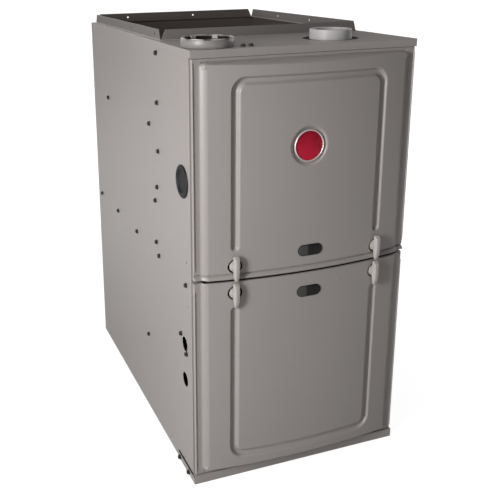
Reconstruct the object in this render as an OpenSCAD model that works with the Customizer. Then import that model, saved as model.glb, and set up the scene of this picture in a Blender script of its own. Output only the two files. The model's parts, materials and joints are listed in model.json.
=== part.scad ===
// Condensing forced air gas furnace: an upflow sheet steel cabinet with two bowed doors.
// The doors face -Y, +Z is up, and the origin is the middle of the base, on the floor.
// All sizes are in millimetres.

/* [Cabinet] */
// Width of the cabinet over its side panels
cabinet_w = 444.5; // [440:0.5:470]
// Depth from the base rail's face to the back
cabinet_d = 714; // [705:1:740]
// Height of the cabinet without its duct flanges
cabinet_h = 842; // [836:1:860]
// Thickness of the sheet steel
sheet_t = 1; // [0.8:0.1:1.2]
// Gap between pieces that fit beside each other
fit_gap = 0.3; // [0.2:0.05:0.4]
// Radial clearance of a shaft in its bore
run_gap = 0.06; // [0.02:0.01:0.1]
// Width of the side panels' front flanges, which the doors close on
jamb_w = 22; // [18:1:26]
// Depth of the top plate, in front of the supply opening
top_depth = 190; // [186:1:200]
// Height of the top plate's front lip
top_lip_h = 14; // [12:1:16]
// Height of the top plate's side lips
top_side_h = 12; // [10:1:14]
// Height of the duct flanges round the supply opening
duct_flange_h = 20; // [16:1:28]
// Distance from the cabinet's side to the duct flange's outer face
duct_flange_inset = 10; // [8:1:14]
// How far a duct flange's ends are cut back at its top edge
duct_mitre = 10; // [6:1:14]
// Height of the front base rail
base_rail_h = 18; // [15:1:20]
// Height of the base rail's side returns
base_return_h = 12; // [10:1:14]
// Length of the base rail's side returns
base_return_l = 95; // [90:1:110]
// Width of the return air opening in the base pan
return_w = 360; // [300:5:390]
// Depth of the return air opening in the base pan
return_d = 540; // [460:5:560]

/* [Doors] */
// Height of the seam between the two doors above the cabinet's middle
seam_above_mid = 6; // [2:1:10]
// Gap between the two doors
seam_gap = 4; // [2:0.5:5]
// Depth of a door's folded edge
door_edge_d = 9; // [8:0.5:10]
// Width of the flat margin beside the bowed field
door_margin_w = 14.5; // [12:0.5:18]
// Height of the bevel at the side of the bowed field
bevel_h = 8; // [6:0.5:9]
// Further rise of the bow between the bevel and the middle of the door
bow_h = 18; // [14:0.5:20]
// Height of the flat margin above and below the bowed field
field_margin_z = 7; // [5:1:9]
// Slope of the field's top and bottom shoulders, rise for run
shoulder_slope = 0.25; // [0.15:0.05:0.35]
// Height of the rolled lip along the upper door's bottom edge
lip_h = 8; // [6:1:10]
// How far the rolled lip stands out of the door's face
lip_out = 3; // [1.5:0.5:3]
// Width of the raised ridge along each side edge of a door
ridge_w = 2.6; // [1.6:0.2:4]
// How far the ridge stands out of the flat margin
ridge_h = 2.8; // [1:0.2:4]
// Distance of the ridges' ends from the seam
ridge_seam_end = 19; // [15:1:30]
// Distance of the ridges' ends from a door's far edge
ridge_far_end = 6; // [3:1:12]
// Width of the pressed groove
groove_w = 14; // [10:1:18]
// Depth of the pressed groove
groove_d = 6; // [4:0.5:7]
// Distance of the groove's side legs from the cabinet's sides
groove_inset = 75.75; // [72.25:0.5:82.25]
// Distance of the groove's cross stretch from the field's end
groove_end = 32; // [28:1:40]
// Radius of the groove's corners, on its middle line
groove_corner_r = 20; // [16:1:26]
// Distance of the groove's open ends from the seam
groove_stop = 63; // [62:1:75]
// Thickness of the insulation inside a door
liner_t = 8; // [5:1:10]

/* [Sight windows] */
// Width of a sight window
window_w = 48; // [40:1:54]
// Height of a sight window
window_h = 20; // [16:1:22]
// Distance of a window's middle from the seam
window_off = 41; // [39:1:44]
// Width of the gasket's rim round the glass
gasket_rim = 2; // [1.5:0.5:3]

/* [Badge place] */
// Place of the bare badge across the door
badge_x = -7; // [-12:1:12]
// Height of the badge's middle above the seam
badge_above_seam = 239; // [213:1:273]
// Outer radius of the chrome bezel
badge_r = 29.5; // [26:0.5:31]
// Width of the bezel's ring
bezel_w = 3; // [2.6:0.2:6]
// Depth of the round recess that holds the badge
badge_recess = 3.5; // [1:0.25:4]
// Width of the recess that shows round the bezel
badge_recess_rim = 5.5; // [4:0.5:8]

/* [Latches] */
// Distance of the latches from the seam
latch_off = 26; // [24:0.5:27]
// Radius of a latch's disc
latch_disc_r = 13.4; // [12:0.1:14]
// Radial gap round the disc
latch_ring_gap = 1.1; // [0.8:0.1:1.5]
// Length of the lever from its axis to its pointed end
lever_down = 27; // [24:0.5:27]
// Length of the lever from its axis to its blunt end
lever_up = 21; // [18:0.5:22]
// Thickness of the lever
lever_t = 9; // [7:0.5:10]
// Height of the lever above the door's face
lever_h = 14; // [12:0.5:16]
// Radius of the latch's shaft
latch_shaft_r = 4.5; // [3.5:0.1:4.6]
// Length of the locking cam behind the rail
cam_l = 34; // [28:1:36]
// Width of the locking cam
cam_w = 8; // [6:0.5:9]

/* [Top fittings] */
// Distance of the vent coupling's middle from the left side
vent_inset = 50.25; // [48.25:1:62.25]
// Distance of the vent coupling's middle from the cabinet's front
vent_front = 50; // [50:1:60]
// Radius of the vent coupling's bore, for a 3 inch pipe
vent_bore_r = 44.8; // [44.6:0.1:45.2]
// Wall of the vent coupling's collar
vent_wall = 3.2; // [2.5:0.1:3.4]
// Height of the vent coupling above the top plate
vent_h = 17; // [15:1:19]
// Distance of the air intake's middle from the right side
intake_inset = 130.25; // [128.25:1:136.25]
// Distance of the air intake's middle from the cabinet's front
intake_front = 87; // [84:1:92]
// Outer radius of the air intake coupling
intake_r = 39.5; // [37:0.5:41]
// Radius of the air intake's bore, for a 2 inch pipe
intake_bore_r = 30.4; // [30.3:0.1:31]
// Height of the air intake coupling above the top plate
intake_h = 17.5; // [15:0.5:19]
// Radius of the hole that the air intake passes through
intake_hole_r = 53; // [48:1:56]

/* [Side holes and screws] */
// Radius of the plugged gas pipe hole
gas_hole_r = 29; // [27:0.5:30]
// Height of the gas pipe hole below the burners
gas_hole_drop = 111; // [107:1:115]
// Radius of the conduit and drain holes
conduit_hole_r = 14.3; // [12:0.1:15]
// Height of the upper conduit hole below the deck
conduit_upper_drop = 150; // [145:1:155]
// Height of the lower conduit hole below the deck
conduit_lower_drop = 226; // [220:1:235]
// Distance of the side holes from the cabinet's front
side_hole_front = 50; // [48:1:54]
// Radius of a screw's hex head, across its corners
screw_head_r = 4.2; // [3.8:0.1:4.6]
// Height of a screw's head
screw_head_h = 4.5; // [3.5:0.1:5]

/* [Partitions] */
// Height of the blower deck above the seam
deck_above_seam = 3; // [3:0.5:4]
// Depth of the deck's side flanges
deck_flange_h = 30; // [26:1:34]
// Height of the rail behind the door seam
seam_rail_h = 98; // [96:1:102]
// Depth of the seam rail's flanges
seam_rail_d = 20; // [16:1:22]

/* [Burners and gas train] */
// Number of burners and heat exchanger tubes
burner_count = 4; // [3:1:4]
// Width of the cabinet that the row of burners leaves free
burner_room = 196.5; // [196.5:1:204.5]
// Place of the burner set's middle across the cabinet
burner_cx = 10; // [6:1:12]
// Height of the burners below the cabinet's top
burner_drop = 127; // [124:1:132]
// Depth of the sealed burner box
burner_box_d = 142; // [138:1:144]
// Height of the sealed burner box
burner_box_h = 120; // [112:1:124]
// Outer radius of the gas manifold pipe
manifold_r = 10.7; // [9:0.1:11]
// Radius of the gas valve's threaded inlet
gas_inlet_r = 10.5; // [9:0.1:11]
// Radius of the gas valve's knob
gas_knob_r = 11; // [9:0.5:13]

/* [Heat exchangers] */
// Outer radius of a primary tube
hx_tube_r = 20.5; // [18:0.5:21]
// Wall of a primary tube
hx_wall = 1.2; // [1:0.1:1.5]
// Height of the lowest primary tubes above the deck
hx_low = 141; // [137:1:149]
// Depth of the hot header at the back
hot_header_d = 45; // [35:1:48]
// Number of fins on the condensing coil
fin_count = 22; // [12:1:28]
// Number of tubes in one row of the condensing coil
coil_tube_count = 7; // [4:1:8]
// Outer radius of a condensing coil tube
coil_tube_r = 6; // [5:0.5:7]

/* [Inducer] */
// Distance of the draft inducer from the vent coupling's middle
inducer_off = 152; // [150:1:156]
// Height of the inducer's shaft above the deck
inducer_above_deck = 109; // [106:1:112]
// Outer radius of the inducer housing
inducer_r = 72; // [68:1:74]
// Depth of the inducer housing
inducer_d = 62; // [61:0.5:64]
// Radius of the inducer motor
inducer_motor_r = 40; // [34:1:44]
// Outer radius of the vent pipe
vent_pipe_r = 30.15; // [29:0.05:30.2]

/* [Blower] */
// Place of the blower's shaft behind the middle of the cabinet
blower_y = 40; // [30:1:60]
// How far the blower's shaft lies below the middle of its space
blower_drop = 3; // [0:1:7]
// Width of the cabinet that the blower housing leaves free
blower_room = 208.5; // [202.5:1:218.5]
// Height of the blower's space that its wheel leaves free
wheel_room = 160; // [154:1:180]
// Width of the blower housing that its wheel leaves free
wheel_gap = 36; // [30:1:56]
// Number of blades on the blower wheel
blade_count = 40; // [24:1:44]
// Lap of the housing's sides over the blower wheel
inlet_lap = 23; // [19:1:30]
// Radius of the blower motor
motor_r = 70; // [60:1:72]
// How much shorter the blower motor is than half the housing's width
motor_short = 6; // [4:1:18]
// Radius of the blower shaft, a half inch shaft
shaft_r = 6.35; // [5:0.05:8]

/* [Controls] */
// Width of the control board
board_w = 160; // [140:1:170]
// Height of the control board
board_h = 90; // [80:1:100]
// Place of the door switch across the cabinet
door_switch_x = 60; // [50:1:80]
// Distance of the door switch below the seam
door_switch_off = 27; // [24:1:30]
// Travel of the door switch's plunger
plunger_travel = 4; // [2:0.5:4.5]

/* [Hidden] */
$fn = 64;

// Finishes
cabinet_grey = [0.60, 0.58, 0.56];
inner_steel = [0.72, 0.73, 0.74];
dark_steel = [0.16, 0.15, 0.15];

// Cabinet planes
x_side = cabinet_w / 2;
x_in = x_side - sheet_t - fit_gap;
x_cover = x_side + fit_gap + sheet_t;
y_front = -cabinet_d / 2;
y_back = cabinet_d / 2;
y_in_back = y_back - sheet_t;
wall_top = cabinet_h - sheet_t;
seam_z = cabinet_h / 2 + seam_above_mid;
y_supply = y_front + top_depth;
y_ledge = y_supply + fit_gap;
x_duct = x_side - duct_flange_inset;
y_duct_back = y_back - duct_flange_inset;
duct_top = cabinet_h + duct_flange_h;

// Door planes: the flat margin's face, and the jamb that a door's folded edge closes on
y_face = y_front + sheet_t;
y_jamb = y_face + door_edge_d + fit_gap;
y_rail = y_jamb + sheet_t;
lower_z0 = base_rail_h + 1.5;
lower_z1 = seam_z - seam_gap / 2;
upper_z0 = seam_z + seam_gap / 2;
upper_z1 = cabinet_h - top_lip_h - 1;
badge_z = seam_z + badge_above_seam;
groove_x = x_side - groove_inset;
door_x = x_side - 0.75;
field_x = door_x - door_margin_w;
bevel_x = field_x - bevel_h;
bow_r = (bevel_x * bevel_x + bow_h * bow_h) / (2 * bow_h);
bow_cy = y_face - bevel_h - bow_h + bow_r;
bevel_side = 1.414;

// Partitions
deck_z = seam_z + deck_above_seam;
deck_top = deck_z + sheet_t;
seam_rail_z0 = seam_z - seam_rail_h / 2;
seam_rail_z1 = seam_z + seam_rail_h / 2;
y_vest = y_supply - 2;
y_vest_front = y_vest - sheet_t;

// Top fittings
vent_x = -x_side + vent_inset;
vent_y = y_front + vent_front;
vent_r = vent_bore_r + vent_wall;
vent_hub_r = vent_pipe_r + 4.5;
vent_hub_l = 34;
intake_x = x_side - intake_inset;
intake_y = y_front + intake_front;
side_hole_y = y_front + side_hole_front;

// Burners and gas train
burner_z = cabinet_h - burner_drop;
burner_pitch = (cabinet_w - burner_room) / 4;
burner_head_l = 62;
burner_half = (burner_count - 1) / 2 * burner_pitch + 32;
burner_box_y = y_vest_front - burner_box_d;
burner_box_z0 = burner_z - burner_box_h / 2;
burner_box_z1 = burner_z + burner_box_h / 2;
collar_r = intake_bore_r - fit_gap;
collar_h = 24;
boss_l = 7;
manifold_y = burner_box_y - boss_l - manifold_r + 2;
gas_valve_x0 = burner_cx + burner_half + 14;
gas_valve_x1 = gas_valve_x0 + 54;
gas_hole_z = burner_z - gas_hole_drop;
gas_valve_z0 = gas_hole_z - 29;
gas_valve_z1 = gas_hole_z + 36;
gas_valve_y0 = side_hole_y - 32;
gas_valve_y1 = side_hole_y + 28;
gas_outlet_x = gas_valve_x0 + 20;
gas_outlet_h = 6;
gas_knob_x = gas_valve_x0 + 17;
gas_knob_z = gas_hole_z + 14;
gas_knob_l = 9;
gas_stem_r = 3;
rollout_x = burner_half - 20;
rollout_z = burner_box_z1 - 16;
reset_r = 3;
reset_travel = 2;

// Heat exchangers
hx_z1 = burner_z;
hx_bend_r = (burner_z - deck_z - hx_low) / 4;
hx_z2 = hx_z1 - 2 * hx_bend_r;
hx_z3 = hx_z2 - 2 * hx_bend_r;
hot_header_y0 = y_in_back - 10 - hot_header_d;
hx_rear_y = hot_header_y0 - 60;
hx_mid_y = y_vest + 70;
coil_z0 = deck_z + 28;
coil_z1 = coil_z0 + 82;
coil_side_room = 62.25;
coil_half_w = x_side - coil_side_room;
coil_y0 = y_vest + 14;
coil_y1 = hot_header_y0 - 6;
cold_header_d = 16;
cold_header_side_room = 94.25;
cold_header_half = x_side - cold_header_side_room;
cold_header_y = y_vest_front - cold_header_d;

// Inducer
inducer_x = vent_x + inducer_off;
inducer_z = deck_z + inducer_above_deck;
inducer_y1 = cold_header_y - 6;
inducer_y0 = inducer_y1 - inducer_d;
inducer_mid_y = (inducer_y0 + inducer_y1) / 2;
inducer_spigot_z = inducer_z + inducer_r - vent_pipe_r - 2;
inducer_spigot_x = inducer_x - inducer_r - 22;
inducer_wheel_r = inducer_r - 17;
inducer_shaft_r = 4;
inducer_motor_l = 72;
vent_bend_r = 42;

// Blower
blower_z = deck_z / 2 - blower_drop;
blower_w = cabinet_w - blower_room;
wheel_r = (deck_z - wheel_room) / 2;
wheel_w = blower_w - wheel_gap;
blower_inlet_r = wheel_r - inlet_lap;
scroll_r0 = wheel_r + 13;
scroll_r1 = wheel_r + 53;
scroll_sweep = 255;
scroll_cut_y = scroll_r0 * cos(scroll_sweep);
blower_half = blower_w / 2;
motor_l = blower_half - motor_short;
blower_flange = 12;
blower_flange_z = deck_z - 2.7;
hub_disc_x = -10;
motor_x0 = 14;
band_w = 14;

// Controls
panel_y = y_front + 95;
conduit_upper_z = deck_z - conduit_upper_drop;
conduit_lower_z = deck_z - conduit_lower_drop;
panel_z0 = conduit_upper_z + 20;
board_x0 = -120;
board_z0 = panel_z0 + 12;
board_standoff = 5;
transformer_x0 = board_x0 + board_w + 26;
transformer_room = 80;
door_switch_z = seam_z - door_switch_off;
plunger_r = 4;
plunger_out = 4.3;

// Places of the screws on one side of the cabinet, as distance behind the front and height
deck_screw_z = deck_z - 23;
deck_screw_pitch = (cabinet_d - 75) / 4;
side_screws = concat(
    [
        [186, cabinet_h - 22], [187, cabinet_h - 117], [187, cabinet_h - 213],
        [242, cabinet_h - 168], [cabinet_d - 147, cabinet_h - 166],
        [199, deck_z + 123], [213, deck_z + 91], [212, deck_z + 2],
        [287, deck_z - 242], [69, deck_z - 136], [39, deck_z - 166]
    ],
    [for (i = [0:4]) [37 + i * deck_screw_pitch, deck_screw_z]]
);
// Places of the small pilot holes, in the same way
pilot_holes = [[34, deck_z + 23], [35, deck_z - 67], [56, 24]];
pilot_r = 2;
screw_shank_r = 1.8;
duct_hole_r = 2.2;
duct_hole_places = [37, 197, 357];
top_screw_x = [vent_x + 55, vent_x + 70];
top_screw_y = y_front + 22;
base_screws = [33, 85];

// A box between two corners
module box(low, high) {
    translate(low)
        cube(high - low);
}

// Round bars along the three axes
module bar_x(x0, x1, y, z, r) {
    translate([x0, y, z])
        rotate([0, 90, 0])
            cylinder(r = r, h = x1 - x0);
}

module bar_y(x, y0, y1, z, r) {
    translate([x, y0, z])
        rotate([-90, 0, 0])
            cylinder(r = r, h = y1 - y0);
}

module bar_z(x, y, z0, z1, r) {
    translate([x, y, z0])
        cylinder(r = r, h = z1 - z0);
}

// A plate whose outline is drawn in Y and Z, and one whose outline is drawn in X and Z
module plate_yz(x0, t, outline) {
    translate([x0, 0, 0])
        rotate([90, 0, 90])
            linear_extrude(t)
                polygon(outline);
}

module plate_xz(y1, t, outline) {
    translate([0, y1, 0])
        rotate([90, 0, 0])
            linear_extrude(t)
                polygon(outline);
}

// Copies to both sides of the cabinet
module both_sides() {
    for (side = [0, 1])
        mirror([side, 0, 0])
            children();
}

// ---------------------------------------------------------------- cabinet

// The left side panel with its front flange, its ledge and its duct flange
module side_panel() {
    box([-x_side, y_jamb, 0], [-x_side + sheet_t, y_in_back, wall_top]);
    box([-x_side, y_jamb, 0], [-x_side + jamb_w, y_jamb + sheet_t, upper_z1]);
    box([-x_side, y_ledge, wall_top], [-x_duct + sheet_t, y_duct_back, cabinet_h]);
    plate_yz(-x_duct, sheet_t, [
        [y_ledge, wall_top],
        [y_duct_back, wall_top],
        [y_duct_back - duct_mitre, duct_top],
        [y_ledge + duct_mitre, duct_top]
    ]);
}

module side_holes() {
    bar_x(-x_side - 5, -x_side + 5, side_hole_y, gas_hole_z, gas_hole_r);
    for (z = [conduit_upper_z, conduit_lower_z])
        bar_x(-x_side - 5, -x_side + 5, side_hole_y, z, conduit_hole_r);
    for (p = side_screws)
        bar_x(-x_side - 5, -x_side + 5, y_front + p[0], p[1], screw_shank_r + 0.1);
    for (p = pilot_holes)
        bar_x(-x_side - 5, -x_side + 5, y_front + p[0], p[1], pilot_r);
    for (d = duct_hole_places)
        bar_x(-x_duct - 5, -x_duct + 5, y_supply + d, cabinet_h + duct_flange_h / 2, duct_hole_r);
}

module side_panels() {
    color(cabinet_grey)
        both_sides()
            difference() {
                side_panel();
                side_holes();
            }
}

module back_panel() {
    color(cabinet_grey)
        difference() {
            union() {
                box([-x_side, y_in_back, 0], [x_side, y_back, cabinet_h]);
                box([-x_side, y_duct_back, wall_top], [x_side, y_back, cabinet_h]);
                plate_xz(y_duct_back + sheet_t, sheet_t, [
                    [-x_duct, wall_top],
                    [x_duct, wall_top],
                    [x_duct - duct_mitre, duct_top],
                    [-x_duct + duct_mitre, duct_top]
                ]);
            }
            for (x = [-130, 45])
                bar_y(x, y_duct_back - 5, y_duct_back + 5, cabinet_h + duct_flange_h / 2, duct_hole_r);
        }
}

module top_plate() {
    color(cabinet_grey)
        difference() {
            union() {
                box([-x_cover, y_front, wall_top], [x_cover, y_supply, cabinet_h]);
                box([-x_cover, y_front, cabinet_h - top_lip_h], [x_cover, y_face, cabinet_h]);
                both_sides()
                    box([-x_cover, y_front, cabinet_h - top_side_h],
                        [-x_cover + sheet_t, y_supply, cabinet_h]);
                plate_xz(y_supply, sheet_t, [
                    [-x_duct, wall_top],
                    [x_duct, wall_top],
                    [x_duct - duct_mitre, duct_top],
                    [-x_duct + duct_mitre, duct_top]
                ]);
            }
            bar_z(vent_x, vent_y, wall_top - 5, cabinet_h + 5, vent_hub_r + fit_gap);
            bar_z(intake_x, intake_y, wall_top - 5, cabinet_h + 5, intake_hole_r);
            bar_z(-x_side + 34, y_front + 125, wall_top - 5, cabinet_h + 5, 4);
            for (x = top_screw_x)
                bar_z(x, top_screw_y, wall_top - 5, cabinet_h + 5, screw_shank_r + 0.1);
        }
}

module base_rail() {
    color(cabinet_grey)
        difference() {
            union() {
                box([-x_cover, y_front, 0], [x_cover, y_face, base_rail_h]);
                for (z = [0, base_rail_h - sheet_t])
                    box([-x_cover, y_front, z], [x_cover, y_jamb - fit_gap, z + sheet_t]);
                both_sides()
                    box([-x_cover, y_front, 0],
                        [-x_cover + sheet_t, y_front + base_return_l, base_return_h]);
            }
            both_sides()
                for (d = base_screws)
                    bar_x(-x_cover - 5, -x_cover + sheet_t + 0.1, y_front + d, base_return_h / 2,
                          screw_shank_r + 0.1);
        }
}

module base_pan() {
    pan_y0 = y_jamb + sheet_t + fit_gap;
    pan_y1 = y_in_back - fit_gap;
    rim_h = 15;
    color(inner_steel)
        difference() {
            box([-x_in, pan_y0, 0], [x_in, pan_y1, rim_h]);
            box([-x_in + sheet_t, pan_y0 + sheet_t, sheet_t],
                [x_in - sheet_t, pan_y1 - sheet_t, rim_h + 5]);
            box([-return_w / 2, -return_d / 2, -5], [return_w / 2, return_d / 2, 5]);
        }
}

module bottom_closure_panel() {
    land = 14;
    color(inner_steel) {
        box([-return_w / 2 + 1, -return_d / 2 + 1, 0], [return_w / 2 - 1, return_d / 2 - 1, sheet_t]);
        difference() {
            box([-return_w / 2 - land, -return_d / 2 - land, sheet_t],
                [return_w / 2 + land, return_d / 2 + land, 2 * sheet_t]);
            box([-return_w / 2 + 3, -return_d / 2 + 3, 0],
                [return_w / 2 - 3, return_d / 2 - 3, 5]);
        }
    }
}

module seam_rail() {
    slot_w = cam_w + 2;
    slot_h = cam_l + 4;
    color(inner_steel)
        difference() {
            union() {
                box([-x_in, y_rail, seam_rail_z0], [x_in, y_rail + sheet_t, seam_rail_z1]);
                for (z = [seam_rail_z0, seam_rail_z1 - sheet_t])
                    box([-x_in, y_rail, z], [x_in, y_rail + seam_rail_d, z + sheet_t]);
            }
            for (x = [-groove_x, groove_x], z = [seam_z - latch_off, seam_z + latch_off])
                box([x - slot_w / 2, y_rail - 5, z - slot_h / 2],
                    [x + slot_w / 2, y_rail + 5, z + slot_h / 2]);
            bar_y(door_switch_x, y_rail - 5, y_rail + 5, door_switch_z, plunger_r + 1);
            box([-window_w / 2, y_rail - 5, seam_z - window_off - window_h / 2],
                [window_w / 2, y_rail + 5, seam_z - window_off + window_h / 2]);
            box([-window_w / 2, y_rail - 5, seam_z + window_off - window_h / 2],
                [window_w / 2, y_rail + 5, seam_z + window_off + window_h / 2]);
        }
}

module blower_deck() {
    deck_y0 = y_rail + sheet_t;
    deck_y1 = y_in_back - fit_gap;
    color(inner_steel)
        difference() {
            union() {
                box([-x_in, deck_y0, deck_z], [x_in, deck_y1, deck_top]);
                both_sides()
                    box([-x_in, deck_y0 + seam_rail_d, deck_z - deck_flange_h],
                        [-x_in + sheet_t, deck_y1, deck_top]);
            }
            box([-blower_half, blower_y + scroll_cut_y, deck_z - 5],
                [blower_half, blower_y + scroll_r1, deck_top + 5]);
            bar_z(trap_x, trap_y, deck_z - 5, deck_top + 5, trap_drain_r + fit_gap);
        }
}

module vestibule_panel() {
    color(inner_steel)
        difference() {
            union() {
                box([-x_in, y_vest_front, deck_top], [x_in, y_vest, wall_top]);
                both_sides()
                    box([-x_in, y_vest_front - 12, deck_top], [-x_in + sheet_t, y_vest, wall_top]);
            }
            at_burners()
                bar_y(0, y_vest_front - 5, y_vest + 5, burner_z, hx_tube_r + fit_gap);
            at_coil_tubes()
                bar_y(0, y_vest_front - 5, y_vest + 5, 0, coil_tube_r + fit_gap);
        }
}

// ---------------------------------------------------------------- doors

// Plan of the bowed field, drawn smaller by an inset: 45 degree bevels cut off by the bow's circle
module field_plan(inset) {
    edge = field_x - bevel_side * inset;
    reach = bevel_h + bow_h + 40;
    intersection() {
        polygon([
            [-edge, y_face + 3],
            [-edge, y_face],
            [-edge + reach, y_face - reach],
            [edge - reach, y_face - reach],
            [edge, y_face],
            [edge, y_face + 3]
        ]);
        translate([0, bow_cy])
            circle(r = bow_r - inset, $fn = 360);
    }
}

module field(inset, z0, z1) {
    translate([0, 0, z0])
        linear_extrude(z1 - z0)
            field_plan(inset);
}

// Everything behind the bowed face, a given depth in
module behind_face(depth) {
    translate([0, bow_cy, -50])
        cylinder(r = bow_r - depth, h = cabinet_h + 100, $fn = 360);
}

// Wedges that slope the field's shoulder at its top (way 1) or its bottom (way -1)
module shoulder_cut(z, way) {
    reach = bevel_h + bow_h + 40;
    plate_yz(-x_side, 2 * x_side, [
        [y_face + 5, z + way * 5 * shoulder_slope],
        [y_face + 5, z + way * 60],
        [y_face - reach, z + way * 60],
        [y_face - reach, z - way * reach * shoulder_slope]
    ]);
}

// A quarter of the groove's corner ring, in the corner given by its signs
module groove_corner(x, z, sx, sz, w) {
    translate([x - sx * groove_corner_r, 0, z - sz * groove_corner_r])
        intersection() {
            difference() {
                bar_y(0, y_face - 60, y_face + 20, 0, groove_corner_r + w / 2);
                bar_y(0, y_face - 70, y_face + 30, 0, groove_corner_r - w / 2);
            }
            box([min(0, sx * 60), y_face - 60, min(0, sz * 60)],
                [max(0, sx * 60), y_face + 20, max(0, sz * 60)]);
        }
}

// The U of the groove as an upright prism: its cross stretch lies at z_cross, its legs end at z_open
module groove_prism(z_cross, z_open, w) {
    way = z_cross > z_open ? 1 : -1;
    z_corner = z_cross - way * groove_corner_r;
    for (x = [-groove_x, groove_x]) {
        box([x - w / 2, y_face - 60, min(z_open, z_corner)],
            [x + w / 2, y_face + 20, max(z_open, z_corner)]);
        bar_y(x, y_face - 60, y_face + 20, z_open, w / 2);
        groove_corner(x, z_cross, sign(x), way, w);
    }
    box([-groove_x + groove_corner_r, y_face - 60, z_cross - w / 2],
        [groove_x - groove_corner_r, y_face + 20, z_cross + w / 2]);
}

module stadium(x, z, y0, y1, w, h) {
    for (side = [-1, 1])
        bar_y(x + side * (w - h) / 2, y0, y1, z, h / 2);
    box([x - (w - h) / 2, y0, z - h / 2], [x + (w - h) / 2, y1, z + h / 2]);
}

// The solid inside a door's face, a given inset in, with its groove pressed in
module door_form(inset, z0, z1, way, z_cross, z_open) {
    shoulder_z = way > 0 ? z1 - field_margin_z : z0 + field_margin_z;
    difference() {
        field(inset, way > 0 ? z0 : shoulder_z - 20, way > 0 ? shoulder_z + 20 : z1);
        shoulder_cut(shoulder_z - way * inset, way);
        difference() {
            groove_prism(z_cross, z_open, groove_w + 2 * inset);
            behind_face(groove_d + inset);
        }
    }
}

// Cup behind each latch hole, with the bore that the latch's shaft turns in
module latch_cups(z) {
    cup_r = latch_disc_r + latch_ring_gap + 2;
    for (x = [-groove_x, groove_x])
        intersection() {
            difference() {
                bar_y(x, y_face - bevel_h - bow_h, y_face + 5, z, cup_r);
                bar_y(x, y_face - 60, y_face + 2, z, cup_r - 2);
                bar_y(x, y_face - 60, y_face + 20, z, latch_shaft_r + run_gap);
            }
            behind_face(sheet_t / 2);
        }
}

// One door without its badge recess. way is 1 when the closed shoulder is at the top.
module door_shell(z0, z1, way) {
    far_z = way > 0 ? z1 : z0;
    ridge_z = [seam_z + way * ridge_seam_end, far_z - way * ridge_far_end];
    z_cross = way > 0 ? z1 - field_margin_z - groove_end : z0 + field_margin_z + groove_end;
    z_open = seam_z + way * groove_stop;
    latch_z = seam_z + way * latch_off;
    hole_r = latch_disc_r + latch_ring_gap;
    difference() {
        union() {
            difference() {
                union() {
                    box([-door_x, y_face, z0], [door_x, y_face + sheet_t, z1]);
                    door_form(0, z0, z1, way, z_cross, z_open);
                    both_sides()
                        box([-door_x, y_face - ridge_h, min(ridge_z)],
                            [-door_x + ridge_w, y_face + sheet_t, max(ridge_z)]);
                    if (way > 0) {
                        field(-lip_out, z0, z0 + lip_h);
                        box([-door_x, y_face - lip_out, z0], [door_x, y_face + sheet_t, z0 + lip_h]);
                    }
                }
                door_form(sheet_t, z0 + sheet_t, z1 - sheet_t, way, z_cross, z_open);
                for (x = [-groove_x, groove_x])
                    bar_y(x, y_face - 60, y_face + 20, latch_z, hole_r);
            }
            both_sides()
                box([-door_x, y_face, z0], [-door_x + sheet_t, y_face + door_edge_d, z1]);
            for (z = [z0, z1 - sheet_t])
                box([-door_x, y_face, z], [door_x, y_face + door_edge_d, z + sheet_t]);
            latch_cups(latch_z);
        }
        stadium(0, seam_z + way * window_off, y_face - 60, y_face + 20, window_w, window_h);
    }
}

module badge_recess_cut() {
    difference() {
        bar_y(badge_x, y_face - 60, y_face, badge_z, badge_r + badge_recess_rim);
        behind_face(badge_recess);
    }
}

module upper_door() {
    color(cabinet_grey) {
        difference() {
            door_shell(upper_z0, upper_z1, 1);
            badge_recess_cut();
        }
        // the recess's wall and floor, pressed in from the face
        intersection() {
            difference() {
                bar_y(badge_x, y_face - 60, y_face, badge_z, badge_r + badge_recess_rim + sheet_t);
                badge_recess_cut();
                behind_face(badge_recess + sheet_t);
            }
            behind_face(sheet_t / 2);
        }
    }
}

// The striker that works the door switch stands behind the lower door's face
module lower_door() {
    striker_y1 = y_rail - plunger_out - fit_gap;
    color(cabinet_grey) {
        door_shell(lower_z0, lower_z1, -1);
        intersection() {
            box([door_switch_x - 6, y_face - 60, door_switch_z - 6],
                [door_switch_x + 6, striker_y1, door_switch_z + 6]);
            behind_face(sheet_t / 2);
        }
    }
}

// Bowed insulation blanket that lies against the backs of the groove and the recess
module door_liner(z0, z1) {
    clear = sheet_t + groove_d + fit_gap;
    translate([0, 0, z0])
        linear_extrude(z1 - z0)
            difference() {
                intersection() {
                    field_plan(clear);
                    translate([-x_side, y_face - 60])
                        square([2 * x_side, 60 - 1]);
                }
                translate([0, bow_cy])
                    circle(r = bow_r - clear - liner_t, $fn = 360);
            }
}

module upper_door_liner() {
    color([0.75, 0.74, 0.70])
        door_liner(seam_z + groove_stop, upper_z1 - field_margin_z - 14);
}

module lower_door_liner() {
    color([0.75, 0.74, 0.70])
        door_liner(lower_z0 + field_margin_z + 14, seam_z - groove_stop);
}

// Where the door's face is in the middle
y_crown = y_face - bevel_h - bow_h;

module sight_gasket(z) {
    color([0.08, 0.08, 0.08])
        difference() {
            union() {
                stadium(0, z, y_crown - 1.5, y_crown - fit_gap, window_w + 4, window_h + 4);
                stadium(0, z, y_crown - 1, y_crown + 8, window_w - 2 * fit_gap, window_h - 2 * fit_gap);
            }
            stadium(0, z, y_crown - 5, y_crown + 1, window_w - 2 * gasket_rim - 1,
                    window_h - 2 * gasket_rim - 1);
            stadium(0, z, y_crown + 1, y_crown + 12, window_w - 2 * gasket_rim, window_h - 2 * gasket_rim);
        }
}

module sight_glass(z) {
    color([0.10, 0.10, 0.11, 0.6])
        stadium(0, z, y_crown + 1.2, y_crown + 4.2, window_w - 2 * gasket_rim - 2 * fit_gap,
                window_h - 2 * gasket_rim - 2 * fit_gap);
}

module upper_sight_gasket() {
    sight_gasket(seam_z + window_off);
}

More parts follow.
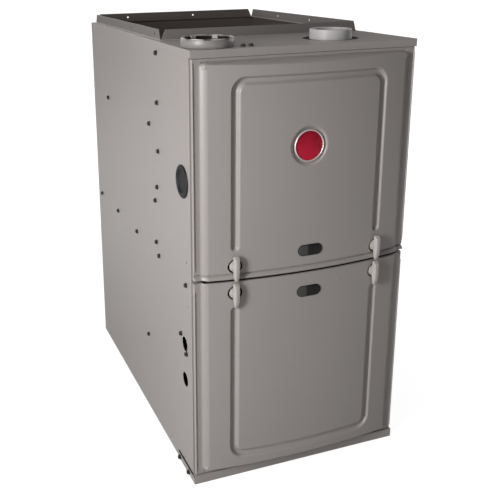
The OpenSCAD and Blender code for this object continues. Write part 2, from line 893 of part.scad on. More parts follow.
module upper_sight_glass() {
    sight_glass(seam_z + window_off);
}

module lower_sight_gasket() {
    sight_gasket(seam_z - window_off);
}

module lower_sight_glass() {
    sight_glass(seam_z - window_off);
}

// The badge's bezel and bare plate stand on the recess's floor
badge_back_y = y_crown + badge_recess - fit_gap;

module badge_bezel() {
    color([0.85, 0.86, 0.88])
        translate([badge_x, badge_back_y, badge_z])
            rotate([90, 0, 0])
                rotate_extrude($fn = 96)
                    polygon([
                        [badge_r - bezel_w, 0],
                        [badge_r, 0],
                        [badge_r, 2],
                        [badge_r - 1.5, 4],
                        [badge_r - bezel_w + 1, 4],
                        [badge_r - bezel_w, 3]
                    ]);
}

module badge_plate() {
    plate_r = badge_r - bezel_w - fit_gap;
    color([0.62, 0.06, 0.08])
        translate([badge_x, badge_back_y, badge_z])
            rotate([90, 0, 0])
                rotate_extrude($fn = 96)
                    polygon([
                        [0, 0],
                        [plate_r, 0],
                        [plate_r, 2],
                        [plate_r / 2, 2.7],
                        [0, 3]
                    ]);
}

// ---------------------------------------------------------------- latches

// Face of the door at a latch
y_latch = bow_cy - sqrt(bow_r * bow_r - groove_x * groove_x);
lever_under = 4;

module latch(x, way) {
    z = seam_z + way * latch_off;
    cam_y = y_rail + sheet_t + 1.7;
    disc_back = y_latch + 2.5;
    tip = 6;
    color([0.66, 0.64, 0.61]) {
        bar_y(x, y_latch - 1.5, disc_back, z, latch_disc_r);
        bar_y(x, y_latch - lever_under - 2, y_latch, z, 6);
        bar_y(x, y_latch, cam_y + 3, z, latch_shaft_r);
        intersection() {
            plate_yz(x - lever_t / 2, lever_t, [
                [y_latch - lever_under, z - lever_down],
                [y_latch - lever_under, z + lever_up],
                [y_latch - lever_h + 3, z + lever_up],
                [y_latch - lever_h, z + lever_up - 5],
                [y_latch - lever_h, z - 8],
                [y_latch - lever_h + 3, z - lever_down + 6],
                [y_latch - lever_under - 3, z - lever_down]
            ]);
            plate_xz(y_latch, lever_h + 5, [
                [x - lever_t / 2, z - lever_down + tip],
                [x - 1, z - lever_down],
                [x + 1, z - lever_down],
                [x + lever_t / 2, z - lever_down + tip],
                [x + lever_t / 2, z + lever_up],
                [x - lever_t / 2, z + lever_up]
            ]);
        }
        box([x - cam_w / 2, cam_y, z - cam_l / 2], [x + cam_w / 2, cam_y + 3, z + cam_l / 2]);
    }
}

module latch_upper_left() {
    latch(-groove_x, 1);
}

module latch_upper_right() {
    latch(groove_x, 1);
}

module latch_lower_left() {
    latch(-groove_x, -1);
}

module latch_lower_right() {
    latch(groove_x, -1);
}

// ---------------------------------------------------------------- top fittings

// Grey collar for the 3 inch vent, reduced to the vent pipe's socket under the top plate
module vent_coupling() {
    floor_t = 3;
    color([0.55, 0.54, 0.52])
        translate([vent_x, vent_y, 0])
            difference() {
                union() {
                    translate([0, 0, cabinet_h])
                        cylinder(r = vent_r, h = vent_h);
                    translate([0, 0, wall_top - vent_hub_l])
                        cylinder(r = vent_hub_r, h = vent_hub_l + sheet_t + 1);
                    for (a = [45:90:315])
                        rotate([0, 0, a])
                            translate([vent_r - 3, -5, cabinet_h + 2])
                                cube([3.5, 10, vent_h - 2]);
                }
                translate([0, 0, cabinet_h + floor_t])
                    cylinder(r = vent_bore_r, h = vent_h);
                translate([0, 0, wall_top - vent_hub_l - 5])
                    cylinder(r = vent_pipe_r + fit_gap, h = vent_hub_l);
                translate([0, 0, wall_top - 20])
                    cylinder(r = vent_pipe_r - 3, h = 60);
            }
}

vent_run_y = inducer_mid_y;
vent_low_z = inducer_spigot_z;
vent_top_z = wall_top - 5 - fit_gap;

// The vent pipe's route as a round bar: out of the inducer, forward, and up to the coupling
module vent_route(r) {
    bar_x(vent_x + vent_bend_r, inducer_spigot_x + 4, vent_run_y, vent_low_z, r);
    translate([vent_x + vent_bend_r, vent_run_y - vent_bend_r, vent_low_z])
        rotate([0, 0, 90])
            rotate_extrude(angle = 90)
                translate([vent_bend_r, 0])
                    circle(r = r);
    bar_y(vent_x, vent_y + vent_bend_r, vent_run_y - vent_bend_r, vent_low_z, r);
    translate([vent_x, vent_y + vent_bend_r, vent_low_z + vent_bend_r])
        rotate([90, 0, 90])
            rotate([0, 0, 180])
                rotate_extrude(angle = 90)
                    translate([vent_bend_r, 0])
                        circle(r = r);
    bar_z(vent_x, vent_y, vent_low_z + vent_bend_r, vent_top_z, r);
}

module vent_pipe() {
    color([0.92, 0.92, 0.90])
        difference() {
            union() {
                vent_route(vent_pipe_r);
                bar_x(inducer_spigot_x - 6, inducer_spigot_x + 16, vent_run_y, vent_low_z,
                      vent_pipe_r + 3.5);
            }
            vent_route(vent_pipe_r - 3);
            bar_x(inducer_spigot_x - fit_gap, inducer_spigot_x + 30, vent_run_y, vent_low_z,
                  vent_pipe_r + fit_gap);
        }
}

// White pipe coupling that sleeves over the burner box's collar and stands out of the top
module intake_coupling() {
    color([0.93, 0.93, 0.92])
        difference() {
            bar_z(intake_x, intake_y, burner_box_z1 + fit_gap, cabinet_h + intake_h, intake_r);
            bar_z(intake_x, intake_y, burner_box_z1 - 5, burner_box_z1 + collar_h + 2, intake_bore_r);
            bar_z(intake_x, intake_y, burner_box_z1, cabinet_h + 50, intake_bore_r - 2.5);
            bar_z(intake_x, intake_y, burner_box_z1 + collar_h + 6, cabinet_h + 50, intake_bore_r);
        }
}

module intake_seal() {
    color([0.05, 0.05, 0.05])
        difference() {
            bar_z(intake_x, intake_y, wall_top - 6, wall_top, intake_hole_r + 5);
            bar_z(intake_x, intake_y, wall_top - 10, wall_top + 5, intake_r + fit_gap);
        }
}

module side_hole_plug() {
    head_r = gas_hole_r + 2;
    color([0.05, 0.05, 0.05])
        translate([-x_side, side_hole_y, gas_hole_z])
            rotate([0, -90, 0])
                rotate_extrude()
                    polygon([
                        [0, -2.5],
                        [gas_hole_r - fit_gap, -2.5],
                        [gas_hole_r - fit_gap, 0],
                        [head_r, 0],
                        [head_r, 1],
                        [head_r - 1.5, 2.5],
                        [gas_hole_r - 6, 2.5],
                        [gas_hole_r - 8, 0.5],
                        [0, 0.5]
                    ]);
}

// One screw with its head above Z = 0 and its shank below
module hex_screw(shank) {
    cylinder(r = screw_head_r, h = screw_head_h, $fn = 6);
    cylinder(r = screw_head_r + 1, h = 1);
    translate([0, 0, -shank])
        cylinder(r = screw_shank_r, h = shank);
}

module cabinet_screws() {
    color(dark_steel) {
        both_sides() {
            for (p = side_screws)
                translate([-x_side, y_front + p[0], p[1]])
                    rotate([0, -90, 0])
                        hex_screw(sheet_t);
            for (d = base_screws)
                translate([-x_cover, y_front + d, base_return_h / 2])
                    rotate([0, -90, 0])
                        hex_screw(sheet_t);
        }
        for (x = top_screw_x)
            translate([x, top_screw_y, cabinet_h])
                hex_screw(sheet_t);
    }
}

// ---------------------------------------------------------------- burners and gas train

module at_burners() {
    for (i = [0:burner_count - 1])
        translate([burner_cx + (i - (burner_count - 1) / 2) * burner_pitch, 0, 0])
            children();
}

module burner_box() {
    x0 = burner_cx - burner_half;
    x1 = burner_cx + burner_half;
    color(inner_steel)
        difference() {
            union() {
                box([x0, burner_box_y, burner_box_z0], [x1, y_vest_front, burner_box_z1]);
                bar_z(intake_x, intake_y, burner_box_z1 - 1, burner_box_z1 + collar_h, collar_r);
            }
            box([x0 + sheet_t, burner_box_y + sheet_t, burner_box_z0 + sheet_t],
                [x1 - sheet_t, y_vest_front + 5, burner_box_z1 - sheet_t]);
            bar_z(intake_x, intake_y, burner_box_z1 - 5, burner_box_z1 + 50, collar_r - 2);
            at_burners()
                bar_y(0, burner_box_y - 5, burner_box_y + 5, burner_z, 8.3);
            bar_x(x0 - 5, x0 + 5, y_vest_front - 12, burner_z, 4);
            bar_x(x1 - 5, x1 + 5, y_vest_front - 12, burner_z, 4);
        }
}

module burners() {
    tube_r = 14;
    head_r = 19;
    head_y = y_vest_front - burner_head_l;
    tube_y = burner_box_y + 22;
    half = burner_half - sheet_t - fit_gap;
    color([0.50, 0.50, 0.50])
        difference() {
            union() {
                box([burner_cx - half, head_y, burner_z - 24],
                    [burner_cx + half, head_y + 2, burner_z + 24]);
                at_burners() {
                    bar_y(0, tube_y, head_y, burner_z, tube_r);
                    bar_y(0, head_y, y_vest_front - 22, burner_z, head_r);
                }
            }
            at_burners() {
                bar_y(0, tube_y - 5, head_y + 5, burner_z, tube_r - 2);
                bar_y(0, head_y + 3, y_vest_front, burner_z, head_r - 2);
            }
        }
}

module gas_manifold() {
    x0 = burner_cx - burner_half + 12;
    bracket_x = burner_half - 12;
    color([0.12, 0.12, 0.12]) {
        bar_x(x0, gas_outlet_x, manifold_y, burner_z, manifold_r);
        bar_x(x0 - 8, x0 + 6, manifold_y, burner_z, manifold_r + 3);
        translate([gas_outlet_x, manifold_y, burner_z])
            sphere(r = manifold_r + 2);
        bar_z(gas_outlet_x, manifold_y, gas_valve_z1 + gas_outlet_h, burner_z, manifold_r);
        at_burners()
            bar_y(0, manifold_y, burner_box_y, burner_z, 8);
        for (x = [burner_cx - bracket_x, burner_cx + bracket_x])
            box([x - 6, manifold_y, burner_z - 6], [x + 6, burner_box_y, burner_z + 6]);
    }
}

module gas_orifices() {
    color([0.72, 0.58, 0.26])
        at_burners()
            difference() {
                union() {
                    bar_y(0, burner_box_y, burner_box_y + 12, burner_z, 5.5);
                    bar_y(0, burner_box_y + 12, burner_box_y + 17, burner_z, 3.5);
                }
                bar_y(0, burner_box_y - 5, burner_box_y + 20, burner_z, 1);
            }
}

module gas_valve() {
    inlet_end = gas_valve_x1 + 8;
    color([0.55, 0.56, 0.58])
        difference() {
            union() {
                box([gas_valve_x0, gas_valve_y0, gas_valve_z0], [gas_valve_x1, gas_valve_y1, gas_valve_z1]);
                bar_x(gas_valve_x1 - 5, inlet_end, side_hole_y, gas_hole_z, gas_inlet_r + 5);
                bar_z(gas_outlet_x, manifold_y, gas_valve_z1 - 5, gas_valve_z1 + gas_outlet_h,
                      manifold_r + 3);
                bar_z(gas_valve_x1 - 15, side_hole_y + 12, gas_valve_z1 - 5, gas_valve_z1 + 24, 12);
            }
            bar_x(inlet_end - 20, inlet_end + 5, side_hole_y, gas_hole_z, gas_inlet_r);
            bar_y(gas_knob_x, gas_valve_y0 - 5, gas_valve_y0 + 10, gas_knob_z, gas_stem_r + run_gap);
        }
}

module gas_valve_knob() {
    color([0.70, 0.10, 0.08]) {
        bar_y(gas_knob_x, gas_valve_y0 - fit_gap - gas_knob_l + 4, gas_valve_y0 - fit_gap,
              gas_knob_z, gas_knob_r);
        box([gas_knob_x - 2.5, gas_valve_y0 - fit_gap - gas_knob_l, gas_knob_z - gas_knob_r + 2],
            [gas_knob_x + 2.5, gas_valve_y0 - fit_gap - 2, gas_knob_z + gas_knob_r - 1]);
        bar_y(gas_knob_x, gas_valve_y0 - fit_gap - 1, gas_valve_y0 + 9, gas_knob_z, gas_stem_r);
    }
}

module igniter() {
    x0 = burner_cx - burner_half;
    color([0.90, 0.88, 0.82]) {
        bar_x(x0 - 8, x0, y_vest_front - 12, burner_z, 8);
        bar_x(x0, x0 + 12, y_vest_front - 12, burner_z, 3.5);
        box([x0 + 12, y_vest_front - 13, burner_z - 3], [x0 + 26, y_vest_front - 11, burner_z + 3]);
    }
}

module flame_sensor() {
    x1 = burner_cx + burner_half;
    color([0.80, 0.80, 0.78]) {
        bar_x(x1, x1 + 7, y_vest_front - 12, burner_z, 6);
        bar_x(x1 - 26, x1, y_vest_front - 12, burner_z, 2);
    }
}

rollout_body_l = 12;
reset_out = 4;

module rollout_switches() {
    color([0.15, 0.13, 0.12])
        for (x = [burner_cx - rollout_x, burner_cx + rollout_x])
            difference() {
                union() {
                    bar_y(x, burner_box_y - rollout_body_l, burner_box_y, rollout_z, 9);
                    box([x - 14, burner_box_y - 1.5, rollout_z - 5], [x + 14, burner_box_y, rollout_z + 5]);
                }
                bar_y(x, burner_box_y - rollout_body_l - 5, burner_box_y - 2, rollout_z,
                      reset_r + run_gap);
            }
}

module rollout_reset(x) {
    color([0.80, 0.12, 0.10])
        bar_y(x, burner_box_y - rollout_body_l - reset_out,
              burner_box_y - 2 - reset_travel - fit_gap, rollout_z, reset_r);
}

module rollout_reset_left() {
    rollout_reset(burner_cx - rollout_x);
}

module rollout_reset_right() {
    rollout_reset(burner_cx + rollout_x);
}

// ---------------------------------------------------------------- heat exchangers

// One primary tube's route as a round bar: back, down and forward, down and back again
module hx_route(r, past) {
    bar_y(0, y_vest_front - past, hx_rear_y, hx_z1, r);
    translate([0, hx_rear_y, (hx_z1 + hx_z2) / 2])
        rotate([90, 0, 90])
            rotate([0, 0, -90])
                rotate_extrude(angle = 180)
                    translate([hx_bend_r, 0])
                        circle(r = r);
    bar_y(0, hx_mid_y, hx_rear_y, hx_z2, r);
    translate([0, hx_mid_y, (hx_z2 + hx_z3) / 2])
        rotate([90, 0, 90])
            rotate([0, 0, 90])
                rotate_extrude(angle = 180)
                    translate([hx_bend_r, 0])
                        circle(r = r);
    bar_y(0, hx_mid_y, hot_header_y0 + 3 + past, hx_z3, r);
}

module heat_exchanger_tubes() {
    color([0.70, 0.71, 0.73])
        at_burners()
            difference() {
                hx_route(hx_tube_r, 0);
                hx_route(hx_tube_r - hx_wall, 5);
            }
}

module hot_header() {
    z0 = coil_z0 - 4;
    z1 = hx_z3 + hx_tube_r + 12;
    half = coil_half_w + 8;
    color([0.70, 0.71, 0.73])
        difference() {
            box([-half, hot_header_y0, z0], [half, hot_header_y0 + hot_header_d, z1]);
            box([-half + sheet_t, hot_header_y0 + sheet_t, z0 + sheet_t],
                [half - sheet_t, hot_header_y0 + hot_header_d - sheet_t, z1 - sheet_t]);
            at_burners()
                bar_y(0, hot_header_y0 - 5, hot_header_y0 + 5, hx_z3, hx_tube_r + fit_gap);
            at_coil_tubes()
                bar_y(0, hot_header_y0 - 5, hot_header_y0 + 5, 0, coil_tube_r + fit_gap);
        }
}

// Two staggered rows of tubes
coil_tube_pitch = 2 * (cold_header_half - 16) / coil_tube_count;

module at_coil_tubes() {
    for (row = [0, 1], i = [0:coil_tube_count - 1])
        translate([
            (i - (coil_tube_count - 1) / 2 + (row - 0.5) / 2) * coil_tube_pitch,
            0,
            (coil_z0 + coil_z1) / 2 + (row - 0.5) * (coil_z1 - coil_z0) / 2
        ])
            children();
}

module condensing_coil() {
    fin_t = 0.8;
    fin_pitch = (coil_y1 - coil_y0 - fin_t) / (fin_count - 1);
    color([0.78, 0.79, 0.80]) {
        at_coil_tubes()
            bar_y(0, y_vest_front - 4, hot_header_y0 + 4, 0, coil_tube_r);
        for (i = [0:fin_count - 1])
            box([-coil_half_w, coil_y0 + i * fin_pitch, coil_z0],
                [coil_half_w, coil_y0 + i * fin_pitch + fin_t, coil_z1]);
        for (side = [-1, 1])
            box([side * coil_half_w - 0.75, coil_y0, coil_z0 + 10],
                [side * coil_half_w + 0.75, coil_y1, coil_z0 + 30]);
    }
}

module cold_header() {
    z0 = coil_z0 - 8;
    z1 = coil_z1 + 60;
    color([0.20, 0.21, 0.23])
        difference() {
            union() {
                box([-cold_header_half, cold_header_y, z0], [cold_header_half, y_vest_front, z1]);
                bar_x(-cold_header_half - 9, -cold_header_half + 5, trap_y, coil_z0 + 4, 6);
            }
            box([-cold_header_half + 2, cold_header_y + 2, z0 + 2],
                [cold_header_half - 2, y_vest_front + 5, z1 - 2]);
            bar_y(inducer_x, cold_header_y - 5, cold_header_y + 5, inducer_z, 30);
        }
}

// ---------------------------------------------------------------- inducer

module inducer_housing() {
    wall = 2.5;
    color([0.28, 0.29, 0.31])
        difference() {
            union() {
                bar_y(inducer_x, inducer_y0, inducer_y1, inducer_z, inducer_r);
                bar_y(inducer_x, inducer_y1 - 1, cold_header_y, inducer_z, 33);
                bar_x(inducer_spigot_x, inducer_x, inducer_mid_y, inducer_spigot_z, vent_pipe_r);
                bar_x(inducer_x, inducer_x + inducer_r + 10, inducer_mid_y, hose_z, 3);
            }
            bar_y(inducer_x, inducer_y0 + wall, inducer_y1 - wall, inducer_z, inducer_r - wall);
            bar_x(inducer_spigot_x - 5, inducer_x, inducer_mid_y, inducer_spigot_z, vent_pipe_r - wall);
            bar_y(inducer_x, inducer_y1 - 5, cold_header_y + 5, inducer_z, 30);
            bar_y(inducer_x, inducer_y0 - 5, inducer_y0 + 5, inducer_z, inducer_shaft_r + 3);
        }
}

// Wheel on its shaft: a back plate, blades and a hub
module inducer_wheel() {
    y0 = inducer_y0 + 12;
    y1 = inducer_y1 - 10;
    blades = 16;
    color([0.75, 0.76, 0.78]) {
        bar_y(inducer_x, y0, y0 + 2, inducer_z, inducer_wheel_r);
        bar_y(inducer_x, y0 - 4, y0 + 14, inducer_z, 9);
        bar_y(inducer_x, inducer_y0 - inducer_motor_l + 20, y0, inducer_z, inducer_shaft_r);
        translate([inducer_x, 0, inducer_z])
            for (i = [0:blades - 1])
                rotate([0, i * 360 / blades, 0])
                    box([22, y0 + 1, -1], [inducer_wheel_r - 1, y1, 1]);
    }
}

module inducer_motor() {
    color([0.18, 0.18, 0.19])
        difference() {
            union() {
                bar_y(inducer_x, inducer_y0 - inducer_motor_l, inducer_y0 - 4, inducer_z, inducer_motor_r);
                bar_y(inducer_x, inducer_y0 - 4, inducer_y0, inducer_z, inducer_motor_r + 14);
                for (a = [30:60:330])
                    rotate_about(inducer_x, inducer_z, a)
                        box([-4, inducer_y0 - inducer_motor_l + 6, inducer_motor_r - 2],
                            [4, inducer_y0 - 14, inducer_motor_r + 3]);
            }
            bar_y(inducer_x, inducer_y0 - inducer_motor_l + 15, inducer_y0 + 5, inducer_z,
                  inducer_shaft_r + run_gap);
        }
}

module rotate_about(x, z, angle) {
    translate([x, 0, z])
        rotate([0, angle, 0])
            children();
}

// ---------------------------------------------------------------- pressure switch and trap

hose_z = inducer_z - 20;
switch_x = x_side - 45.25;
switch_r = 30;

module pressure_switch() {
    color([0.86, 0.86, 0.84]) {
        bar_y(switch_x, inducer_mid_y - 12, inducer_mid_y + 12, hose_z, switch_r);
        bar_y(switch_x, inducer_mid_y - 18, inducer_mid_y - 12, hose_z, 12);
        bar_x(switch_x - switch_r - 9, switch_x - switch_r + 5, inducer_mid_y, hose_z, 3);
        box([switch_x - 16, inducer_mid_y + 12, hose_z - 16], [switch_x + 16, y_vest_front, hose_z - 14]);
        box([switch_x - 16, y_vest_front - 2, hose_z - 16], [switch_x + 16, y_vest_front, hose_z + 16]);
    }
}

// Rubber hose pushed over the two ports
module pressure_hose() {
    x0 = inducer_x + inducer_r + 2;
    x1 = switch_x - switch_r - 1;
    color([0.07, 0.07, 0.07])
        difference() {
            bar_x(x0, x1, inducer_mid_y, hose_z, 5);
            bar_x(x0 - 5, x1 + 5, inducer_mid_y, hose_z, 3 + fit_gap);
        }
}

trap_x = -cold_header_half - 50;
trap_y = y_vest_front - 12;
trap_drain_r = 11;
trap_half_w = 24;
trap_l = 44;
trap_h = 66;

module condensate_trap() {
    color([0.88, 0.88, 0.86])
        difference() {
            union() {
                box([trap_x - trap_half_w, trap_y - trap_l, deck_top],
                    [trap_x + trap_half_w, trap_y + 11, deck_top + trap_h]);
                bar_z(trap_x, trap_y, deck_z - 34, deck_top + 5, trap_drain_r);
                bar_x(trap_x + trap_half_w - 4, -cold_header_half - 2, trap_y, coil_z0 + 4, 8.5);
                bar_z(trap_x, trap_y - trap_half_w, deck_top + trap_h - 6, deck_top + trap_h + 6, 10);
            }
            bar_x(-cold_header_half - 10, -cold_header_half, trap_y, coil_z0 + 4, 6 + fit_gap);
            bar_z(trap_x, trap_y, deck_z - 40, deck_top + 40, trap_drain_r - 2);
        }
}

// ---------------------------------------------------------------- blower

// Side view of the scroll about the shaft, drawn smaller by an inset, with its outlet up to a height
function scroll_outline(inset, up) = concat(
    [[scroll_r1 - inset, up]],
    [for (i = [0:48])
        let (a = -i * scroll_sweep / 48, r = scroll_r1 + (scroll_r0 - scroll_r1) * i / 48 - inset)
        [r * cos(a), r * sin(a)]],
    [[scroll_cut_y + inset, up]]
);

module scroll(inset, half, up) {
    translate([0, blower_y, blower_z])
        plate_yz(-half, 2 * half, scroll_outline(inset, up));
}

module blower_housing() {
    flange_top = blower_flange_z + sheet_t;
    color(inner_steel)
        difference() {
            union() {
                scroll(0, blower_half, flange_top - blower_z);
                box([-blower_half - blower_flange, blower_y + scroll_cut_y - 10, blower_flange_z],
                    [blower_half + blower_flange, blower_y + scroll_r1 + 10, flange_top]);
            }
            scroll(sheet_t, blower_half - sheet_t, flange_top + 20 - blower_z);
            bar_x(-blower_half - 5, blower_half + 5, blower_y, blower_z, blower_inlet_r);
        }
}

// Squirrel cage wheel on its shaft
module blower_wheel() {
    ring_w = 9;
    blade_l = 15;
    color([0.74, 0.75, 0.77])
        translate([0, blower_y, blower_z])
            rotate([0, 90, 0]) {
                for (x = [-wheel_w / 2, wheel_w / 2 - 3])
                    translate([0, 0, x])
                        difference() {
                            cylinder(r = wheel_r, h = 3);
                            translate([0, 0, -1])
                                cylinder(r = wheel_r - ring_w, h = 5);
                        }
                translate([0, 0, hub_disc_x])
                    cylinder(r = wheel_r - 2, h = 2);
                translate([0, 0, hub_disc_x - 14])
                    cylinder(r = 20, h = 30 - 8);
                translate([0, 0, hub_disc_x - 20])
                    cylinder(r = shaft_r, h = motor_x0 - hub_disc_x + 20 + 24);
                for (i = [0:blade_count - 1])
                    rotate([0, 0, i * 360 / blade_count])
                        translate([wheel_r - 3, 0, 0])
                            rotate([0, 0, 155])
                                translate([0, -0.6, -wheel_w / 2 + 1])
                                    cube([blade_l, 1.2, wheel_w - 2]);
            }
}

module blower_motor() {
    color([0.20, 0.21, 0.22])
        difference() {
            union() {
                bar_x(motor_x0, motor_x0 + motor_l, blower_y, blower_z, motor_r);
                bar_x(motor_x0 - 4, motor_x0, blower_y, blower_z, 24);
            }
            bar_x(motor_x0 - 10, motor_x0 + 26, blower_y, blower_z, shaft_r + run_gap);
        }
}

// Band round the motor and three arms to the housing's side
module motor_bracket() {
    arm_t = 3;
    band_x0 = blower_half - 4;
    color([0.45, 0.46, 0.48]) {
        difference() {
            bar_x(band_x0, band_x0 + band_w, blower_y, blower_z, motor_r + 3);
            bar_x(band_x0 - 5, band_x0 + band_w + 5, blower_y, blower_z, motor_r + fit_gap);
        }
        for (a = [90, 210, 330])
            translate([blower_half, blower_y, blower_z])
                rotate([a, 0, 0])
                    translate([0, motor_r + 1.5, -7])
                        cube([arm_t, blower_inlet_r + 16 - motor_r, 14]);
    }
}

// Two angle rails under the deck that carry the housing's flange
module blower_rails() {
    rail_x = blower_half + blower_flange + 0.5;
    color(inner_steel)
        both_sides() {
            box([-rail_x - sheet_t, blower_y + scroll_cut_y - 12, blower_flange_z - fit_gap - sheet_t],
                [-rail_x, blower_y + scroll_r1 + 12, deck_z]);
            box([-rail_x - sheet_t, blower_y + scroll_cut_y - 12, blower_flange_z - fit_gap - sheet_t],
                [-rail_x + 7, blower_y + scroll_r1 + 12, blower_flange_z - fit_gap]);
        }
}

// ---------------------------------------------------------------- controls

module control_panel() {
    x0 = board_x0 - 20;
    x1 = transformer_x0 + transformer_room;
    color(inner_steel) {
        box([x0, panel_y, panel_z0], [x1, panel_y + sheet_t, deck_z]);
        box([x0, panel_y, deck_z - sheet_t], [x1, panel_y + 22, deck_z]);
    }
}

module control_board() {
    y1 = panel_y - board_standoff;
    color([0.10, 0.32, 0.18]) {
        box([board_x0, y1 - 1.6, board_z0], [board_x0 + board_w, y1, board_z0 + board_h]);
        for (x = [board_x0 + 6, board_x0 + board_w - 6], z = [board_z0 + 6, board_z0 + board_h - 6])
            bar_y(x, y1, panel_y, z, 3);
        for (i = [0:2])
            box([board_x0 + 18 + i * 24, y1 - 18, board_z0 + 48],
                [board_x0 + 36 + i * 24, y1 - 1, board_z0 + 76]);
        box([board_x0 + 16, y1 - 14, board_z0 + 12], [board_x0 + 96, y1 - 1, board_z0 + 24]);
        bar_y(board_x0 + board_w - 40, y1 - 24, y1 - 1, board_z0 + 60, 9);
        box([board_x0 + board_w - 50, y1 - 8, board_z0 + 20],
            [board_x0 + board_w - 30, y1 - 1, board_z0 + 34]);
    }
}

module transformer() {
    y1 = panel_y;
    z0 = panel_z0 + 25;
    color([0.25, 0.22, 0.20]) {
        box([transformer_x0, y1 - 44, z0 + 8], [transformer_x0 + 60, y1 - 2, z0 + 54]);
        box([transformer_x0 + 12, y1 - 52, z0], [transformer_x0 + 48, y1 - 6, z0 + 62]);
        box([transformer_x0 - 8, y1 - 2, z0 + 16], [transformer_x0 + 68, y1, z0 + 46]);
    }
}

module door_switch() {
    y0 = y_rail + sheet_t;
    color([0.92, 0.92, 0.90])
        difference() {
            union() {
                box([door_switch_x - 9, y0, door_switch_z - 12],
                    [door_switch_x + 9, y0 + 24, door_switch_z + 12]);
                box([door_switch_x - 16, y0, door_switch_z - 8],
                    [door_switch_x + 16, y0 + 2, door_switch_z + 8]);
            }
            bar_y(door_switch_x, y0 - 5, y0 + 10 + plunger_travel, door_switch_z, plunger_r + run_gap);
        }
}

module door_switch_plunger() {
    color([0.85, 0.30, 0.10])
        bar_y(door_switch_x, y_rail - plunger_out, y_rail + sheet_t + 9, door_switch_z, plunger_r);
}

side_panels();
back_panel();
top_plate();
base_rail();
base_pan();
bottom_closure_panel();
seam_rail();
blower_deck();
vestibule_panel();
upper_door();
upper_door_liner();
upper_sight_gasket();
upper_sight_glass();
lower_door();
lower_door_liner();
lower_sight_gasket();
lower_sight_glass();
badge_bezel();
badge_plate();
latch_upper_left();
latch_upper_right();
latch_lower_left();
latch_lower_right();
vent_coupling();
vent_pipe();
intake_coupling();
intake_seal();
side_hole_plug();
cabinet_screws();
burner_box();
burners();
gas_manifold();
gas_orifices();
gas_valve();
gas_valve_knob();
igniter();
flame_sensor();
rollout_switches();
rollout_reset_left();
rollout_reset_right();
heat_exchanger_tubes();
hot_header();
condensing_coil();
cold_header();
inducer_housing();
inducer_wheel();
inducer_motor();
pressure_switch();
pressure_hose();
condensate_trap();
blower_housing();
blower_wheel();
blower_motor();
motor_bracket();
blower_rails();
control_panel();
control_board();
transformer();
door_switch();
door_switch_plunger();
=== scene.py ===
import json
import math

import bmesh
import bpy
import numpy as np
from mathutils import Matrix, Vector


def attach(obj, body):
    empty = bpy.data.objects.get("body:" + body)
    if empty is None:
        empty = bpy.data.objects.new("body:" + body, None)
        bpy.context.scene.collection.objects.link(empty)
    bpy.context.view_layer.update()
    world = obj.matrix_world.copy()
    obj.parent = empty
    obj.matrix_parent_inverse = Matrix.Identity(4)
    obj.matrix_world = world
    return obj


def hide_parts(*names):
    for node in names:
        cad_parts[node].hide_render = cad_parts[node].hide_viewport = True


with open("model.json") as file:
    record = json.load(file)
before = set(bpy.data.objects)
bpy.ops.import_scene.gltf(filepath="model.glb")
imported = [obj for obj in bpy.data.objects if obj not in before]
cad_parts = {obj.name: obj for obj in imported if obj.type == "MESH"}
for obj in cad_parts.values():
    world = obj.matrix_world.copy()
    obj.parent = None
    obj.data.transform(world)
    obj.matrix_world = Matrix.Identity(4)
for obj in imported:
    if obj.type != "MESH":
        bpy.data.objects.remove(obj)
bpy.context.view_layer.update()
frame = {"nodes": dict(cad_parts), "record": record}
nodes = frame["nodes"]
MM = 0.001

# The cabinet's front, in millimetres, as in the part
Y_FACE = -356.0                 # plane of the doors' flat margins
DOOR_X = 221.2                  # half width of a door
FIELD_X = 207.0                 # half width of its raised field
BEVEL = 8.0                     # rise of the bevel beside the field
BOW = 18.0                      # rise of the bow above the bevel
BOW_R = ((FIELD_X - BEVEL) ** 2 + BOW ** 2) / (2 * BOW)
SEAM = 427.0                    # height of the gap between the doors
LOWER_Z = (19.5, 423.2)         # lower and upper edge of a door
UPPER_Z = (428.9, 827.4)
MARGIN_Z = 7.0                  # flat margin beyond the closed shoulder
DOOR_BACK = 7.4                 # depth of a door's edge behind its margin
SHEET = 1.0                     # thickness of a door's sheet
LATCH_OFF = 26.0                # distance of the latches from the seam
LATCH_HOLE_R = 13.6
WINDOW = (48.0, 20.0, 41.0)     # width, height and distance from the seam
BADGE = (-7.0, 666.0, 36.5, 5.0)    # x, z, radius and depth of the badge's recess

# The pressed groove, which also carries the latches
GROOVE_X = 146.5                # distance of its sides from the middle
GROOVE_R = 20.0                 # radius of its corners
GROOVE_FLOOR = 2.8              # half width of its floor
GROOVE_EDGE = 8.6               # half width at its edges
GROOVE_D = 6.6                  # depth
GROOVE_END = 32.0               # distance of its crossing from the closed shoulder
GROOVE_STOP = 63.0              # distance of its open ends from the seam

# Other forms of the doors' faces
EDGE_R = 11.0                   # round between the side bevels and the closed shoulder
SHOULDER_STEEP = 3.0            # how much steeper than a bevel the closed shoulder is
INNER = 60.0                    # stands for an edge that is out of reach
BLEND = 4.5                     # softness between bevel and bow
FOOT = (2.2, 1.4)               # reach and softness of the bevel's foot
RECESS_WALL = (5.5, 0.4)        # the recess's wall, within and beyond its radius
LIP_H = 8.2                     # height of the upper door's rolled lip
LIP_OUT = 3.8                   # how far it stands out
LIP_SLOPE = 0.85                # share of its height that slopes
LIP_DIP = (3.0, 1.05, 0.17)     # the dip above it: depth, and place and width in lip heights
RIDGE_W = 2.1                   # width of the ridge along a door's side edges
RIDGE_H = 1.8                   # its height
RIDGE_SEAM = 19.0               # its distance from the seam
RIDGE_FAR = 6.0                 # its distance from the door's closed end
RIDGE_SOFT = 3.0                # length of its soft ends
RIDGE_SIDE = 0.9                # width of its inner side
RIDGE_DIP = (0.5, 1.4, 0.8)     # depth, distance and width of the dip beside it
